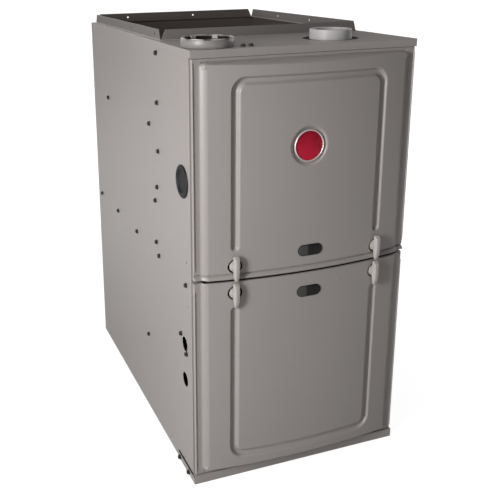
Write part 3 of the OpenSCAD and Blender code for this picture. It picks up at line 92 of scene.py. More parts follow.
CREASE = (1.7, 0.7, 1.0, 4.0)   # depth, place, width and side gap of the shoulder's crease
EDGE_ROUND = {1: 2.2, -1: 2.8}  # round of the upper and the lower door's outer edge
TOP_ROOM = {1: 1.3, -1: 0.0}    # how far that round is cut short at the top

# Boxes in metres, as centre and half size: the duct's room and the compartment under it, with
# painted shade, and the flanges, whose paint is halved
FLANGE_ROOM = ((0.0, 0.0900, 0.90), (0.2112, 0.2573, 0.0600))
COMPARTMENT = ((0.0, 0.0938, 0.64), (0.2218, 0.2628, 0.2005))
FLANGES = ((0.0, 0.09, 0.90), (0.230, 0.275, 0.0565))


# ------------------------------------------------------------------ materials

def material(name):
    m = bpy.data.materials.new(name)
    m.use_nodes = True
    tree = m.node_tree
    return m, tree, tree.nodes["Principled BSDF"]


def add(tree, kind, **settings):
    n = tree.nodes.new(kind)
    for key, value in settings.items():
        setattr(n, key, value)
    return n


def noise(tree, vector, scale, detail=3.0, rough=0.5):
    n = add(tree, "ShaderNodeTexNoise")
    n.inputs["Scale"].default_value = scale
    n.inputs["Detail"].default_value = detail
    n.inputs["Roughness"].default_value = rough
    tree.links.new(vector, n.inputs["Vector"])
    return n.outputs["Fac"]


def spread(tree, value, low, high, start=0.3, end=0.7):
    """A value's range from start to end, mapped on to the range from low to high."""
    n = add(tree, "ShaderNodeMapRange")
    n.inputs["From Min"].default_value = start
    n.inputs["From Max"].default_value = end
    n.inputs["To Min"].default_value = low
    n.inputs["To Max"].default_value = high
    tree.links.new(value, n.inputs["Value"])
    return n.outputs["Result"]


def mixed(tree, factor, a, b):
    """A colour between two, each a tuple or a socket."""
    n = add(tree, "ShaderNodeMix", data_type="RGBA")
    tree.links.new(factor, n.inputs[0])
    pair = [s for s in n.inputs if s.type == "RGBA"]
    for socket, c in zip(pair, (a, b)):
        if isinstance(c, tuple):
            socket.default_value = (*c, 1.0)
        else:
            tree.links.new(c, socket)
    return next(s for s in n.outputs if s.type == "RGBA")


def combined(tree, operation, a, b):
    """The result of a Math node over two values, each a number or a socket."""
    n = add(tree, "ShaderNodeMath", operation=operation)
    for socket, value in zip(n.inputs, (a, b)):
        if isinstance(value, float):
            socket.default_value = value
        else:
            tree.links.new(value, socket)
    return n.outputs[0]


def coordinate(tree, vector, axis):
    n = add(tree, "ShaderNodeSeparateXYZ")
    tree.links.new(vector, n.inputs[0])
    return n.outputs[axis]


def stretched(tree, vector, scale):
    n = add(tree, "ShaderNodeMapping")
    n.inputs["Scale"].default_value = scale
    tree.links.new(vector, n.inputs["Vector"])
    return n.outputs["Vector"]


def shade(c, k):
    return tuple(min(1.0, v * k) for v in c)


def box_mask(tree, place, box):
    """1 within a box, 0 outside."""
    centre, half = box
    offset = add(tree, "ShaderNodeVectorMath", operation="SUBTRACT")
    offset.inputs[1].default_value = centre
    tree.links.new(place, offset.inputs[0])
    distance = add(tree, "ShaderNodeVectorMath", operation="ABSOLUTE")
    tree.links.new(offset.outputs[0], distance.inputs[0])
    room = add(tree, "ShaderNodeVectorMath", operation="SUBTRACT")
    room.inputs[0].default_value = half
    tree.links.new(distance.outputs[0], room.inputs[1])
    axes = add(tree, "ShaderNodeSeparateXYZ")
    tree.links.new(room.outputs[0], axes.inputs[0])
    least = combined(tree, "MINIMUM", axes.outputs["X"], axes.outputs["Y"])
    least = combined(tree, "MINIMUM", least, axes.outputs["Z"])
    return combined(tree, "GREATER_THAN", least, 0.0)


GLOSS_VARY = 0.08
SMUT = (0.05, 0.045, 0.04)


def surface(name, colour, rough, metal=0.0, vary=0.06, broad=9.0, fine=260.0, bump=0.05,
            depth=0.0004, edge=0.0007, stretch=(1, 1, 1), spangle=0.0, specular=0.5, dirt=0.0,
            painted_inside_shade=None):
    """A finish with broad and fine colour variation, uneven gloss, a fine relief and soft edges.

    broad, fine and spangle are the scales of its clouds, its grain and a zinc coat's crystals,
    dirt is the share of smut, and the inside colour is painted shade between the duct flanges and
    under them.
    """
    m, tree, shader = material(name)
    place = add(tree, "ShaderNodeTexCoord").outputs["Object"]
    vector = stretched(tree, place, stretch) if stretch != (1, 1, 1) else place
    broad_noise = noise(tree, vector, broad, detail=4.0, rough=0.55)
    fine_noise = noise(tree, vector, fine, detail=3.0, rough=0.6)
    base = mixed(tree, spread(tree, broad_noise, 0.0, 1.0), shade(colour, 1 - vary),
                 shade(colour, 1 + vary))
    base = mixed(tree, spread(tree, fine_noise, 0.0, 0.35), base, shade(colour, 1 - 1.5 * vary))
    if spangle:
        cells = add(tree, "ShaderNodeTexVoronoi")
        cells.inputs["Scale"].default_value = spangle
        tree.links.new(place, cells.inputs["Vector"])
        grey = add(tree, "ShaderNodeRGBToBW")
        tree.links.new(cells.outputs["Color"], grey.inputs["Color"])
        crystal = grey.outputs["Val"]
        base = mixed(tree, spread(tree, crystal, 0.0, 0.5, start=0.1, end=0.9), base,
                     shade(colour, 0.72))
        gloss = spread(tree, crystal, rough - 0.08, rough + 0.14, start=0.1, end=0.9)
    else:
        gloss = spread(tree, broad_noise, rough - GLOSS_VARY / 2, rough + GLOSS_VARY / 2)
    if dirt:
        smut = noise(tree, place, 34.0, detail=8.0, rough=0.7)
        base = mixed(tree, spread(tree, smut, 0.0, dirt, start=0.52, end=0.78), base, SMUT)
    # painted shade: a dark colour in the duct's room and the compartment under it; the duct
    # flanges' paint is halved
    if painted_inside_shade:
        base = mixed(tree, box_mask(tree, place, FLANGES), base, shade(colour, 0.5))
        rooms = [box_mask(tree, place, box) for box in (FLANGE_ROOM, COMPARTMENT)]
        base = mixed(tree, combined(tree, "MAXIMUM", *rooms), base, painted_inside_shade)
    tree.links.new(base, shader.inputs["Base Color"])
    tree.links.new(gloss, shader.inputs["Roughness"])
    shader.inputs["Metallic"].default_value = metal
    shader.inputs["Specular IOR Level"].default_value = specular
    relief = add(tree, "ShaderNodeBump")
    relief.inputs["Strength"].default_value = bump
    relief.inputs["Distance"].default_value = depth
    tree.links.new(fine_noise, relief.inputs["Height"])
    if edge:
        soft = add(tree, "ShaderNodeBevel", samples=4)
        soft.inputs["Radius"].default_value = edge
        tree.links.new(soft.outputs["Normal"], relief.inputs["Normal"])
    tree.links.new(relief.outputs["Normal"], shader.inputs["Normal"])
    return m


# the inside colours of cabinet_paint and galvanised are painted shade within the duct and the
# compartment under it
LOOKS = {
    "cabinet_paint": dict(
        colour=(0.335, 0.308, 0.296), rough=0.40, vary=0.035, broad=3.2, fine=900.0, bump=0.10,
        depth=0.0002, edge=0.0012, specular=0.55, painted_inside_shade=(0.105, 0.088, 0.080)),
    "galvanised": dict(
        colour=(0.42, 0.43, 0.44), rough=0.48, metal=0.6, vary=0.08, spangle=85.0, bump=0.05,
        painted_inside_shade=(0.10, 0.085, 0.078)),
    "exchanger_steel": dict(
        colour=(0.30, 0.265, 0.245), rough=0.36, metal=0.95, vary=0.12, broad=14.0, fine=320.0,
        stretch=(1, 0.2, 1)),
    "fin_aluminium": dict(
        colour=(0.66, 0.67, 0.68), rough=0.36, metal=0.95, vary=0.07, broad=20.0, fine=420.0),
    "door_insulation": dict(
        colour=(0.62, 0.61, 0.58), rough=0.42, metal=0.75, vary=0.10, broad=30.0, fine=170.0,
        bump=0.5, depth=0.001, edge=0.0),
    "black_rubber": dict(
        colour=(0.011, 0.011, 0.011), rough=0.62, vary=0.2, fine=700.0, bump=0.15,
        specular=0.25),
    "latch_plastic": dict(
        colour=(0.43, 0.405, 0.385), rough=0.46, vary=0.05, broad=60.0, fine=1500.0, bump=0.12,
        depth=0.0002, edge=0.0005),
    "bezel_chrome": dict(
        colour=(0.84, 0.77, 0.76), rough=0.36, metal=0.6, vary=0.04, broad=40.0, fine=900.0,
        bump=0.02, depth=0.0001, edge=0.0003),
    "coupling_grey": dict(
        colour=(0.245, 0.236, 0.224), rough=0.42, metal=0.1, vary=0.10, broad=45.0, fine=600.0,
        bump=0.12, edge=0.0008),
    "pipe_white": dict(
        colour=(0.445, 0.428, 0.425), rough=0.48, vary=0.03, broad=25.0, fine=900.0, bump=0.05,
        edge=0.0006),
    "black_plastic": dict(
        colour=(0.011, 0.011, 0.012), rough=0.50, vary=0.25, broad=60.0, fine=1200.0, bump=0.15,
        edge=0.0005, specular=0.22),
    "header_plastic": dict(
        colour=(0.055, 0.058, 0.064), rough=0.42, vary=0.12, broad=30.0, fine=700.0, bump=0.12),
    "screw_steel": dict(
        colour=(0.060, 0.052, 0.050), rough=0.40, metal=0.6, vary=0.25, broad=220.0,
        fine=1500.0, bump=0.1, depth=0.0002, edge=0.0004),
    "black_iron": dict(
        colour=(0.035, 0.034, 0.034), rough=0.50, metal=0.3, vary=0.2, broad=60.0, fine=500.0,
        bump=0.3),
    "orifice_brass": dict(
        colour=(0.62, 0.43, 0.15), rough=0.28, metal=1.0, vary=0.08, broad=120.0, fine=900.0),
    "valve_body": dict(
        colour=(0.44, 0.45, 0.46), rough=0.46, metal=0.8, vary=0.10, broad=50.0, fine=500.0,
        bump=0.3),
    "knob_red": dict(
        colour=(0.42, 0.022, 0.018), rough=0.40, vary=0.08, broad=90.0, fine=900.0, bump=0.08),
    "igniter_white": dict(
        colour=(0.72, 0.69, 0.62), rough=0.55, vary=0.08, broad=120.0, fine=900.0, bump=0.15),
    "switch_white": dict(
        colour=(0.74, 0.74, 0.71), rough=0.40, vary=0.04, broad=60.0, fine=800.0, bump=0.06),
    "switch_dark": dict(
        colour=(0.035, 0.030, 0.027), rough=0.42, vary=0.15, broad=90.0, fine=900.0, bump=0.1),
    "plunger_orange": dict(
        colour=(0.62, 0.09, 0.02), rough=0.38, vary=0.08, broad=120.0, fine=900.0, bump=0.05),
    "motor_paint": dict(
        colour=(0.035, 0.037, 0.040), rough=0.36, vary=0.15, broad=22.0, fine=420.0, bump=0.2,
        dirt=0.15),
    "board_green": dict(
        colour=(0.016, 0.105, 0.042), rough=0.34, vary=0.25, broad=120.0, fine=520.0,
        bump=0.25),
    "transformer_iron": dict(
        colour=(0.085, 0.070, 0.058), rough=0.42, metal=0.4, vary=0.2, broad=60.0, fine=420.0,
        stretch=(1, 9, 1), bump=0.4),
}
FINISH = {name: surface(name, **look) for name, look in LOOKS.items()}

GLASS_LIGHT_X = (-0.0075, -0.0035)   # where the glass turns from painted light to dark, in metres
ENAMEL_SHADE_Z = (0.640, 0.690)       # where the enamel's painted light turns to painted shade, in metres


def red_enamel():
    """Glossy red enamel, with painted shade towards its upper edge and painted light towards its
    lower edge.
    """
    m, tree, shader = material("badge_red")
    place = add(tree, "ShaderNodeTexCoord").outputs["Object"]
    cloud = noise(tree, place, 40.0)
    mottle = spread(tree, cloud, 0.0, 1.0)
    # painted light and shade: the red is lit below and shaded above
    lower = spread(tree, coordinate(tree, place, "Z"), 1.0, 0.0, *ENAMEL_SHADE_Z)
    shaded_red = mixed(tree, mottle, (0.26, 0.007, 0.018), (0.33, 0.010, 0.024))
    lit_red = mixed(tree, mottle, (0.50, 0.006, 0.030), (0.60, 0.009, 0.044))
    tree.links.new(mixed(tree, lower, shaded_red, lit_red), shader.inputs["Base Color"])
    tree.links.new(spread(tree, cloud, 0.26, 0.34), shader.inputs["Roughness"])
    shader.inputs["Specular IOR Level"].default_value = 0.22
    return m


def dark_glass():
    """Smoked glass with a lighter left part, painted light standing in for the lit inside seen
    through it.
    """
    m, tree, shader = material("dark_glass")
    place = add(tree, "ShaderNodeTexCoord").outputs["Object"]
    film = noise(tree, place, 60.0, detail=5.0, rough=0.6)
    # painted light: the glass is lighter at its left, where the lit inside would show
    sleeve = spread(tree, coordinate(tree, place, "X"), 1.0, 0.0, *GLASS_LIGHT_X)
    glass = mixed(tree, spread(tree, film, 0.0, 1.0), (0.010, 0.009, 0.010),
                  (0.016, 0.015, 0.016))
    tree.links.new(mixed(tree, sleeve, glass, (0.064, 0.061, 0.060)),
                   shader.inputs["Base Color"])
    tree.links.new(spread(tree, film, 0.34, 0.44), shader.inputs["Roughness"])
    shader.inputs["Specular IOR Level"].default_value = 0.2
    return m


FINISH["badge_red"] = red_enamel()
FINISH["dark_glass"] = dark_glass()

SHARP = 28                      # least angle of a carried-over node's sharp edge, in degrees
slots = {s["node"]: s["material_slot"] for s in frame["record"]["subparts"]}
for name, obj in nodes.items():
    finish = FINISH[slots[name]]
    if not obj.material_slots:
        obj.data.materials.append(finish)
    for s in obj.material_slots:
        s.material = finish
    obj.data.shade_smooth()
    obj.data.set_sharp_from_angle(angle=math.radians(SHARP))


# ------------------------------------------------------------------ mesh helpers

MERGE = 2e-6                    # distance in metres within which points become one


def make(name, verts, faces, finish, body, smooth=True, sharp=None):
    """A mesh object from points in millimetres, riding on a body."""
    mesh = bpy.data.meshes.new(name)
    mesh.from_pydata([Vector(v) * MM for v in verts], [], faces)
    mesh.validate()
    bm = bmesh.new()
    bm.from_mesh(mesh)
    bmesh.ops.remove_doubles(bm, verts=bm.verts, dist=MERGE)
    bmesh.ops.recalc_face_normals(bm, faces=bm.faces)
    bm.to_mesh(mesh)
    bm.free()
    obj = bpy.data.objects.new(name, mesh)
    bpy.context.scene.collection.objects.link(obj)
    mesh.materials.append(FINISH[finish])
    if smooth:
        mesh.shade_smooth()
        if sharp:
            mesh.set_sharp_from_angle(angle=math.radians(sharp))
    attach(obj, body)
    return obj


def lathe(profile, place, axis, steps, wave=None):
    """Points and faces of a profile of (radius, height) turned about an axis through a place."""
    verts, faces = [], []
    n = len(profile)
    for i in range(steps):
        a = 2 * math.pi * i / steps
        for r, h in profile:
            if wave:
                h = wave(a, h)
            u, v = r * math.cos(a), r * math.sin(a)
            p = (u, v, h) if axis == "z" else (u, h, v)
            verts.append([place[j] + p[j] for j in range(3)])
    for i in range(steps):
        for k in range(n - 1):
            a, b = i * n + k, ((i + 1) % steps) * n + k
            faces.append((a, b, b + 1, a + 1))
    return verts, faces


def rounded(profile, radius, steps):
    """A closed profile of (radius, height) points with its corners rounded."""
    out = []
    n = len(profile)
    for i in range(n):
        before, corner, after = (np.array(profile[(i + k) % n], float) for k in (-1, 0, 1))
        a, b = before - corner, after - corner
        la, lb = np.linalg.norm(a), np.linalg.norm(b)
        cut = min(radius, la / 2.1, lb / 2.1)
        start, end = corner + a / la * cut, corner + b / lb * cut
        for t in np.linspace(0, 1, steps + 1):
            out.append(tuple((1 - t) ** 2 * start + 2 * t * (1 - t) * corner + t ** 2 * end))
    out.append(out[0])
    return out


def join(parts):
    """One set of points and faces out of several."""
    verts, faces = [], []
    for v, f in parts:
        k = len(verts)
        verts += list(v)
        faces += [tuple(i + k for i in face) for face in f]
    return verts, faces


def block(low, high):
    x0, y0, z0 = low
    x1, y1, z1 = high
    v = [(x, y, z) for x in (x0, x1) for y in (y0, y1) for z in (z0, z1)]
    return v, [(0, 1, 3, 2), (4, 6, 7, 5), (0, 4, 5, 1), (2, 3, 7, 6), (0, 2, 6, 4), (1, 5, 7, 3)]


def oval(w, h, grow, y, z, count=64):
    """Points of a flat-sided oval of a given size, grown by a distance."""
    r = h / 2 + grow
    points = []
    for i in range(count):
        c, s = math.cos(2 * math.pi * i / count), math.sin(2 * math.pi * i / count)
        points.append(((w - h) / 2 * (1 if c > 0 else -1) + r * c, y, z + r * s))
    return points


def loops(rows, closed=False):
    """Points and faces of a tube through rows of points of one length."""
    count = len(rows[0])
    verts = [p for row in rows for p in row]
    faces = []
    for k in range(len(rows) if closed else len(rows) - 1):
        a, b = k * count, (k + 1) % len(rows) * count
        for i in range(count):
            j = (i + 1) % count
            faces.append((a + i, a + j, b + j, b + i))
    return verts, faces


def smooth_min(a, b, k):
    h = np.maximum(k - np.abs(a - b), 0.0) / k
    return np.minimum(a, b) - h * h * k / 4


def smooth_step(a, b, v):
    t = np.clip((v - a) / (b - a), 0.0, 1.0)
    return t * t * (3 - 2 * t)


# ------------------------------------------------------------------ doors

def closed_shoulder(way, z0, z1):
    """Height of the field's end away from the seam; way is 1 on the upper door, -1 on the lower."""
    return z1 - MARGIN_Z if way > 0 else z0 + MARGIN_Z


def door_height(x, z, way, z0, z1):
    """How far a door's face stands out of its flat margin, in millimetres."""
    ax = np.abs(x)
    shoulder = closed_shoulder(way, z0, z1)
    # field: bevels at the sides, a steeper shoulder at the closed end, and the bow
    a = FIELD_X - ax
    b = way * (shoulder - z)
    ra, rb = np.maximum(EDGE_R - a, 0.0), np.maximum(EDGE_R - b, 0.0)
    reach = np.sqrt(ra * ra + rb * rb)
    share = rb * rb / np.maximum(ra * ra + rb * rb, 1e-9)
    edge = np.where(reach > 0, (EDGE_R - reach) * (1 + SHOULDER_STEEP * share), INNER)
    bow = BEVEL + BOW - (BOW_R - np.sqrt(np.maximum(BOW_R ** 2 - x * x, 0.0)))
    out = smooth_min(edge, bow, BLEND)
    foot, soft = FOOT
    out = np.where(out > -foot, 0.5 * (out + np.sqrt(out * out + soft)), 0.0)
    # pressed groove
    cross = shoulder - way * GROOVE_END
    open_z = SEAM + way * GROOVE_STOP
    u = ax - (GROOVE_X - GROOVE_R)
    v = way * (z - cross) + GROOVE_R
    around = np.abs(np.hypot(np.maximum(u, 0), np.maximum(v, 0))
                    + np.minimum(np.maximum(u, v), 0) - GROOVE_R)
    past = way * (open_z - z)
    around = np.where(past > 0, np.hypot(ax - GROOVE_X, past), around)
    out = out - GROOVE_D * (1 - smooth_step(GROOVE_FLOOR, GROOVE_EDGE, around))
    # badge recess, and the rolled lip at the seam
    if way > 0:
        badge_x, badge_z, radius, depth = BADGE
        within, beyond = RECESS_WALL
        away = np.hypot(x - badge_x, z - badge_z)
        out = out - depth * (1 - smooth_step(radius - within, radius + beyond, away))
        t = (z - z0) / LIP_H
        lip = LIP_OUT * np.clip((1.0 - t) / LIP_SLOPE, 0.0, 1.0)
        depth, at, width = LIP_DIP
        out = out + lip - depth * np.exp(-((t - at) / width) ** 2)
    # ridge along each side edge, ending short of the seam and of the closed end
    seam_end, far_end = SEAM + way * RIDGE_SEAM, (z1 if way > 0 else z0) - way * RIDGE_FAR
    along = (smooth_step(0.0, RIDGE_SOFT, way * (z - seam_end))
             * smooth_step(0.0, RIDGE_SOFT, way * (far_end - z)))
    inward = DOOR_X - ax
    out = out + RIDGE_H * along * (1 - smooth_step(RIDGE_W, RIDGE_W + RIDGE_SIDE, inward))
    depth, off, width = RIDGE_DIP
    out = out - depth * along * np.exp(-((inward - RIDGE_W - off) / width) ** 2)
    # crease along the foot of the closed shoulder
    depth, off, width, gap = CREASE
    out = out - depth * np.exp(-((b + off) / width) ** 2) * (ax < FIELD_X - gap)
    # rounded outer edge
    radius = EDGE_ROUND[way]
    border = np.minimum(DOOR_X - ax, np.minimum(z - z0, z1 - z + TOP_ROOM[way]))
    fall = np.maximum(radius - border, 0.0)
    return out - (radius - np.sqrt(np.maximum(radius ** 2 - fall ** 2, 0.0)))


def lines(low, high, coarse, dense):
    """Grid lines between two ends: coarse steps, with finer ones near the given features."""
    v = [low]
    while v[-1] < high - 1e-6:
        step = coarse
        for at, half, fine in dense:
            if at - half - coarse < v[-1] < at + half:
                step = min(step, fine)
        v.append(min(high, v[-1] + step))
    return np.array(v)


COARSE = 5.0                    # step of a door's grid between its features
SNAP = 0.75                     # how near to a latch hole's edge a grid point moves on to it
HOLE_LAP = 0.35                 # how far within that edge the centres of cut cells lie
PANE_LAP = 2.0                  # how far a sight window covers the edge of its hole


def door_grid(way, z0, z1):
    """The x and z of a grid of points over a door, with fine steps at its features."""
    shoulder = closed_shoulder(way, z0, z1)
    cross = shoulder - way * GROOVE_END
    latch_z = SEAM + way * LATCH_OFF
    # each feature as its place, half width and step
    at_sides = (
        (DOOR_X, 6.6, 0.55),                        # outer edge and ridge
        (202.5, 9.0, 1.0),                          # bevel
        (GROOVE_X, 15.5, 1.2),                      # groove and latch hole
    )
    dense_x = [(side * at, half, step) for side in (-1, 1) for at, half, step in at_sides]
    dense_x += [(0.0, 25.0, 2.4)]                   # sight window
    dense_z = [
        (z0, 2.4, 0.55), (z1, 2.4, 0.55),           # outer edges
        (shoulder - way * 4.5, 8.0, 0.6),           # closed shoulder
        (cross, 9.0, 1.2),                          # the groove's crossing
        (cross - way * 12, 12.0, 2.0),              # the groove's corners
        (latch_z, 15.5, 1.2),                       # latch holes
        (SEAM + way * WINDOW[2], 12.0, 2.4),        # sight window
        (SEAM + way * GROOVE_STOP, 8.0, 1.5),       # the groove's ends
    ]
    if way > 0:
        dense_x += [(BADGE[0], 39.0, 1.75)]
        dense_z += [(z0 + 5, 7.0, 0.6), (BADGE[1], 39.0, 1.75)]     # lip, and badge recess
    xs = lines(-DOOR_X, DOOR_X, COARSE, dense_x)
    zs = lines(z0, z1, COARSE, dense_z)
    X, Z = np.meshgrid(xs, zs, indexing="ij")
    # bring the nearest grid points on to each latch hole's edge
    for cx in (-GROOVE_X, GROOVE_X):
        dx, dz = X - cx, Z - latch_z
        away = np.hypot(dx, dz)
        near = np.abs(away - LATCH_HOLE_R) < SNAP
        k = np.where(near, LATCH_HOLE_R / np.maximum(away, 1e-6), 1.0)
        X, Z = cx + dx * k, latch_z + dz * k
    return X, Z


def door_mesh(name, way, z0, z1):
    """A pressed door skin, with its turned-back rim, latch holes and window hole."""
    X, Z = door_grid(way, z0, z1)
    out = door_height(X, Z, way, z0, z1)
    ni, nj = X.shape
    verts = [(X[i, j], Y_FACE - out[i, j], Z[i, j]) for i in range(ni) for j in range(nj)]
    faces = []
    w, h, off = WINDOW
    latch_z, window_z = SEAM + way * LATCH_OFF, SEAM + way * off
    for i in range(ni - 1):
        for j in range(nj - 1):
            mx = (X[i, j] + X[i + 1, j + 1]) / 2
            mz = (Z[i, j] + Z[i + 1, j + 1]) / 2
            if math.hypot(abs(mx) - GROOVE_X, mz - latch_z) < LATCH_HOLE_R - HOLE_LAP:
                continue
            du = max(abs(mx) - (w - h) / 2, 0.0)
            if math.hypot(du, mz - window_z) < h / 2 - PANE_LAP:
                continue
            a, b = i * nj + j, (i + 1) * nj + j
            faces.append((a, b, b + 1, a + 1))
    ring = [(i, 0) for i in range(ni)] + [(ni - 1, j) for j in range(1, nj)]
    ring += [(i, nj - 1) for i in range(ni - 2, -1, -1)] + [(0, j) for j in range(nj - 2, 0, -1)]
    k = len(verts)
    m = len(ring)
    for i, j in ring:
        verts.append((X[i, j], Y_FACE + DOOR_BACK, Z[i, j]))
    for q in range(m):
        i0, j0 = ring[q]
        i1, j1 = ring[(q + 1) % m]
        faces.append((i0 * nj + j0, i1 * nj + j1, k + (q + 1) % m, k + q))
    obj = make(name, verts, faces, "cabinet_paint", name.replace("_skin", ""), sharp=50)
    wall = obj.modifiers.new("sheet", "SOLIDIFY")
    wall.thickness = SHEET * MM
    wall.offset = -1.0
    wall.use_quality_normals = True
    return obj


def face_y(x):
    """The y of the doors' bowed field at an x."""
    return Y_FACE - BEVEL - BOW + (BOW_R - math.sqrt(BOW_R ** 2 - x * x))


CUP_WALL = 2.0
CUP_FLOOR = (Y_FACE + 2, Y_FACE + 5)
BORE_R = 4.56


def latch_cups(name, body, way):
    """Pressed cups behind the latch holes, with the bores that the shafts turn in."""
    z = SEAM + way * LATCH_OFF
    inner, outer = LATCH_HOLE_R, LATCH_HOLE_R + CUP_WALL
    front, back = CUP_FLOOR
    parts = []
    for x in (-GROOVE_X, GROOVE_X):
        y = face_y(abs(x) + LATCH_HOLE_R) + 0.6
        profile = [(outer, y), (inner, y), (inner, front), (BORE_R, front), (BORE_R, back),
                   (outer, back), (outer, y)]
        parts.append(lathe(profile, (x, 0, z), "y", 64))
    make(name, *join(parts), "black_plastic", body, sharp=35)


upper_skin = door_mesh("upper_door_skin", 1, *UPPER_Z)
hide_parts("upper_door")
lower_skin = door_mesh("lower_door_skin", -1, *LOWER_Z)
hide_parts("lower_door")
latch_cups("upper_latch_cups", "upper_door", 1)
latch_cups("lower_latch_cups", "lower_door", -1)
make("door_switch_striker", *block((54, -380.5, 394), (66, -350.3, 406)), "cabinet_paint",
     "lower_door", smooth=False)

# Sections of the sight windows, as growth beyond WINDOW's size and distance behind the door's
# crown: the pane from its back edge to near its middle, and the gasket once round
PANE = ((0.2, 1.0), (0.2, -1.0), (-0.1, -1.5), (-1.1, -1.8), (-WINDOW[1] / 2 + 1, -2.0))
GASKET = ((0.3, 4.0), (0.3, -1.1), (0.7, -1.2), (1.0, -0.8), (1.1, 0.9), (-1.6, 0.9), (-1.6, 4.0))


def sight_window(name, way):
    """A smoked glass with a soft edge, in a thin dark gasket."""
    w, h, off = WINDOW
    crown, z = Y_FACE - BEVEL - BOW, SEAM + way * off
    rows = [oval(w, h, grow, crown + y, z) for grow, y in PANE]
    verts, faces = loops(rows)
    count = len(rows[0])
    faces += [tuple(range(count)), tuple(range(len(verts) - count, len(verts)))]
    glass = make(f"{name}_sight_pane", verts, faces, "dark_glass", f"{name}_door", sharp=40)
    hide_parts(f"{name}_sight_glass")
    rows = [oval(w, h, grow, crown + y, z) for grow, y in GASKET]
    gasket = make(f"{name}_sight_frame", *loops(rows, True), "black_rubber", f"{name}_door",
                  sharp=50)
    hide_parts(f"{name}_sight_gasket")


sight_window("upper", 1)
sight_window("lower", -1)


# ------------------------------------------------------------------ latches

# A latch's disc, as radius and distance behind the door's field
LATCH_DISC = ((0.0, 2.4), (10.3, 2.4), (10.7, 1.9), (10.8, -0.6), (10.5, -1.2), (10.0, -1.5),
              (9.2, -1.5), (8.5, -1.9), (7.2, -2.4), (6.2, -3.2), (0.0, -4.2))
SHAFT_R = 4.5
SHAFT_BACK = -340.2
# Lever sections from its pointed lower end to its slanted upper end, as height over the shaft,
# half width, and how far the back and the front stand out of the door's field
LEVER = (
    (-28.6, 0.9, 4.2, 6.4), (-27.2, 1.9, 4.05, 8.0), (-24.4, 2.7, 4.0, 9.8),
    (-20.0, 3.6, 4.0, 11.6), (-15.0, 4.2, 4.0, 13.0), (-9.0, 4.6, 4.0, 13.8),
    (-2.0, 4.7, 4.0, 14.0), (6.0, 4.7, 4.0, 14.0), (12.4, 4.7, 4.0, 14.0),
    (15.2, 4.6, 4.0, 13.2), (17.4, 4.5, 4.0, 11.2), (19.4, 4.3, 4.0, 8.8),
    (20.8, 3.6, 4.3, 6.9), (21.2, 2.6, 4.6, 6.2),
)
LEVER_FRONT = 14.0              # the lever's full height
LEVER_TAPER = (1.34, 0.48)      # width factor at its base, and how much less it is at the front
LEVER_SQUARE = 0.26             # exponent of the sections' rounded corners
LEVER_STEPS = 24
CAM = (4, 17)                   # half width and half length of the cam
CAM_Y = (-343.0, -340.0)


def lever_section(x, y, z, w, low, high):
    """Points of a rounded section of the lever, wider at its base."""
    wide, less = LEVER_TAPER
    points = []
    for i in range(LEVER_STEPS):
        a = 2 * math.pi * i / LEVER_STEPS
        c, s = math.cos(a), math.sin(a)
        v = math.copysign(abs(s) ** LEVER_SQUARE, s) * (high - low) / 2 + (high + low) / 2
        u = (math.copysign(abs(c) ** LEVER_SQUARE, c) * w
             * (wide - less * (v - low) / (LEVER_FRONT - low)))
        points.append((x + u, y - v, z))
    return points


def latch(name, side, way):
    """A turn lever on its disc, with the shaft and the cam behind it."""
    x, z = side * GROOVE_X, SEAM + way * LATCH_OFF
    y = face_y(GROOVE_X)
    disc = lathe([(r, y + h) for r, h in LATCH_DISC], (x, 0, z), "y", 72)
    shaft = lathe([(0.0, SHAFT_BACK), (SHAFT_R, SHAFT_BACK), (SHAFT_R, y + 2), (0.0, y + 2)],
                  (x, 0, z), "y", 40)
    verts, faces = loops([lever_section(x, y, z + dz, *size) for dz, *size in LEVER])
    faces.append(tuple(range(LEVER_STEPS)))
    faces.append(tuple(range(len(verts) - 1, len(verts) - LEVER_STEPS - 1, -1)))
    wide, long = CAM
    cam = block((x - wide, CAM_Y[0], z - long), (x + wide, CAM_Y[1], z + long))
    obj = make(name + "_lever", *join([disc, shaft, (verts, faces), cam]), "latch_plastic",
               name, sharp=48)
    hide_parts(name)


for way, row in ((1, "upper"), (-1, "lower")):
    for side, hand in ((-1, "left"), (1, "right")):
        latch(f"latch_{row}_{hand}", side, way)


# ------------------------------------------------------------------ badge place

badge_y = Y_FACE - BEVEL - BOW + BADGE[3] - 0.8     # back of the badge, in its recess
badge_at = (BADGE[0], 0, BADGE[1])
# The ring, as radius and distance behind the badge's back
RING = ((27.0, 0.0), (29.5, 0.0), (29.5, -2.4), (28.7, -3.6), (27.6, -3.6), (27.0, -2.6))
ring = rounded([(r, badge_y + h) for r, h in RING], 0.8, 5)
bezel = make("badge_ring", *lathe(ring, badge_at, "y", 128), "bezel_chrome", "upper_door")
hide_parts("badge_bezel")
PLATE_R = 26.8
PLATE_CROWN = 2.0               # rise of the plate's middle over its edge
plate_profile = [(0.0, badge_y), (26.7, badge_y), (PLATE_R, badge_y - 1.4)]
plate_profile += [(PLATE_R - PLATE_R * t, badge_y - 1.5 - PLATE_CROWN * (1 - (1 - t) ** 2))
                  for t in np.linspace(0.02, 1.0, 14)]
plate = make("badge_disc", *lathe(plate_profile, badge_at, "y", 128), "badge_red",
             "upper_door")
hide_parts("badge_plate")


# ------------------------------------------------------------------ top fittings

VENT = (-172.0, -307.0, 0.0)
INTAKE = (92.0, -270.0, 0.0)
RIM_TOP = 857.5                 # the vent collar's rim is wavy above this height
RIM_WAVE = 0.6
TAB_ANGLES = (50, 106, 168, 230, 286, 350)


def vent_wave(a, h):
    """Soft lobes along the collar's rim."""
    return h - RIM_WAVE + RIM_WAVE * math.cos(8 * a) if h > RIM_TOP else h


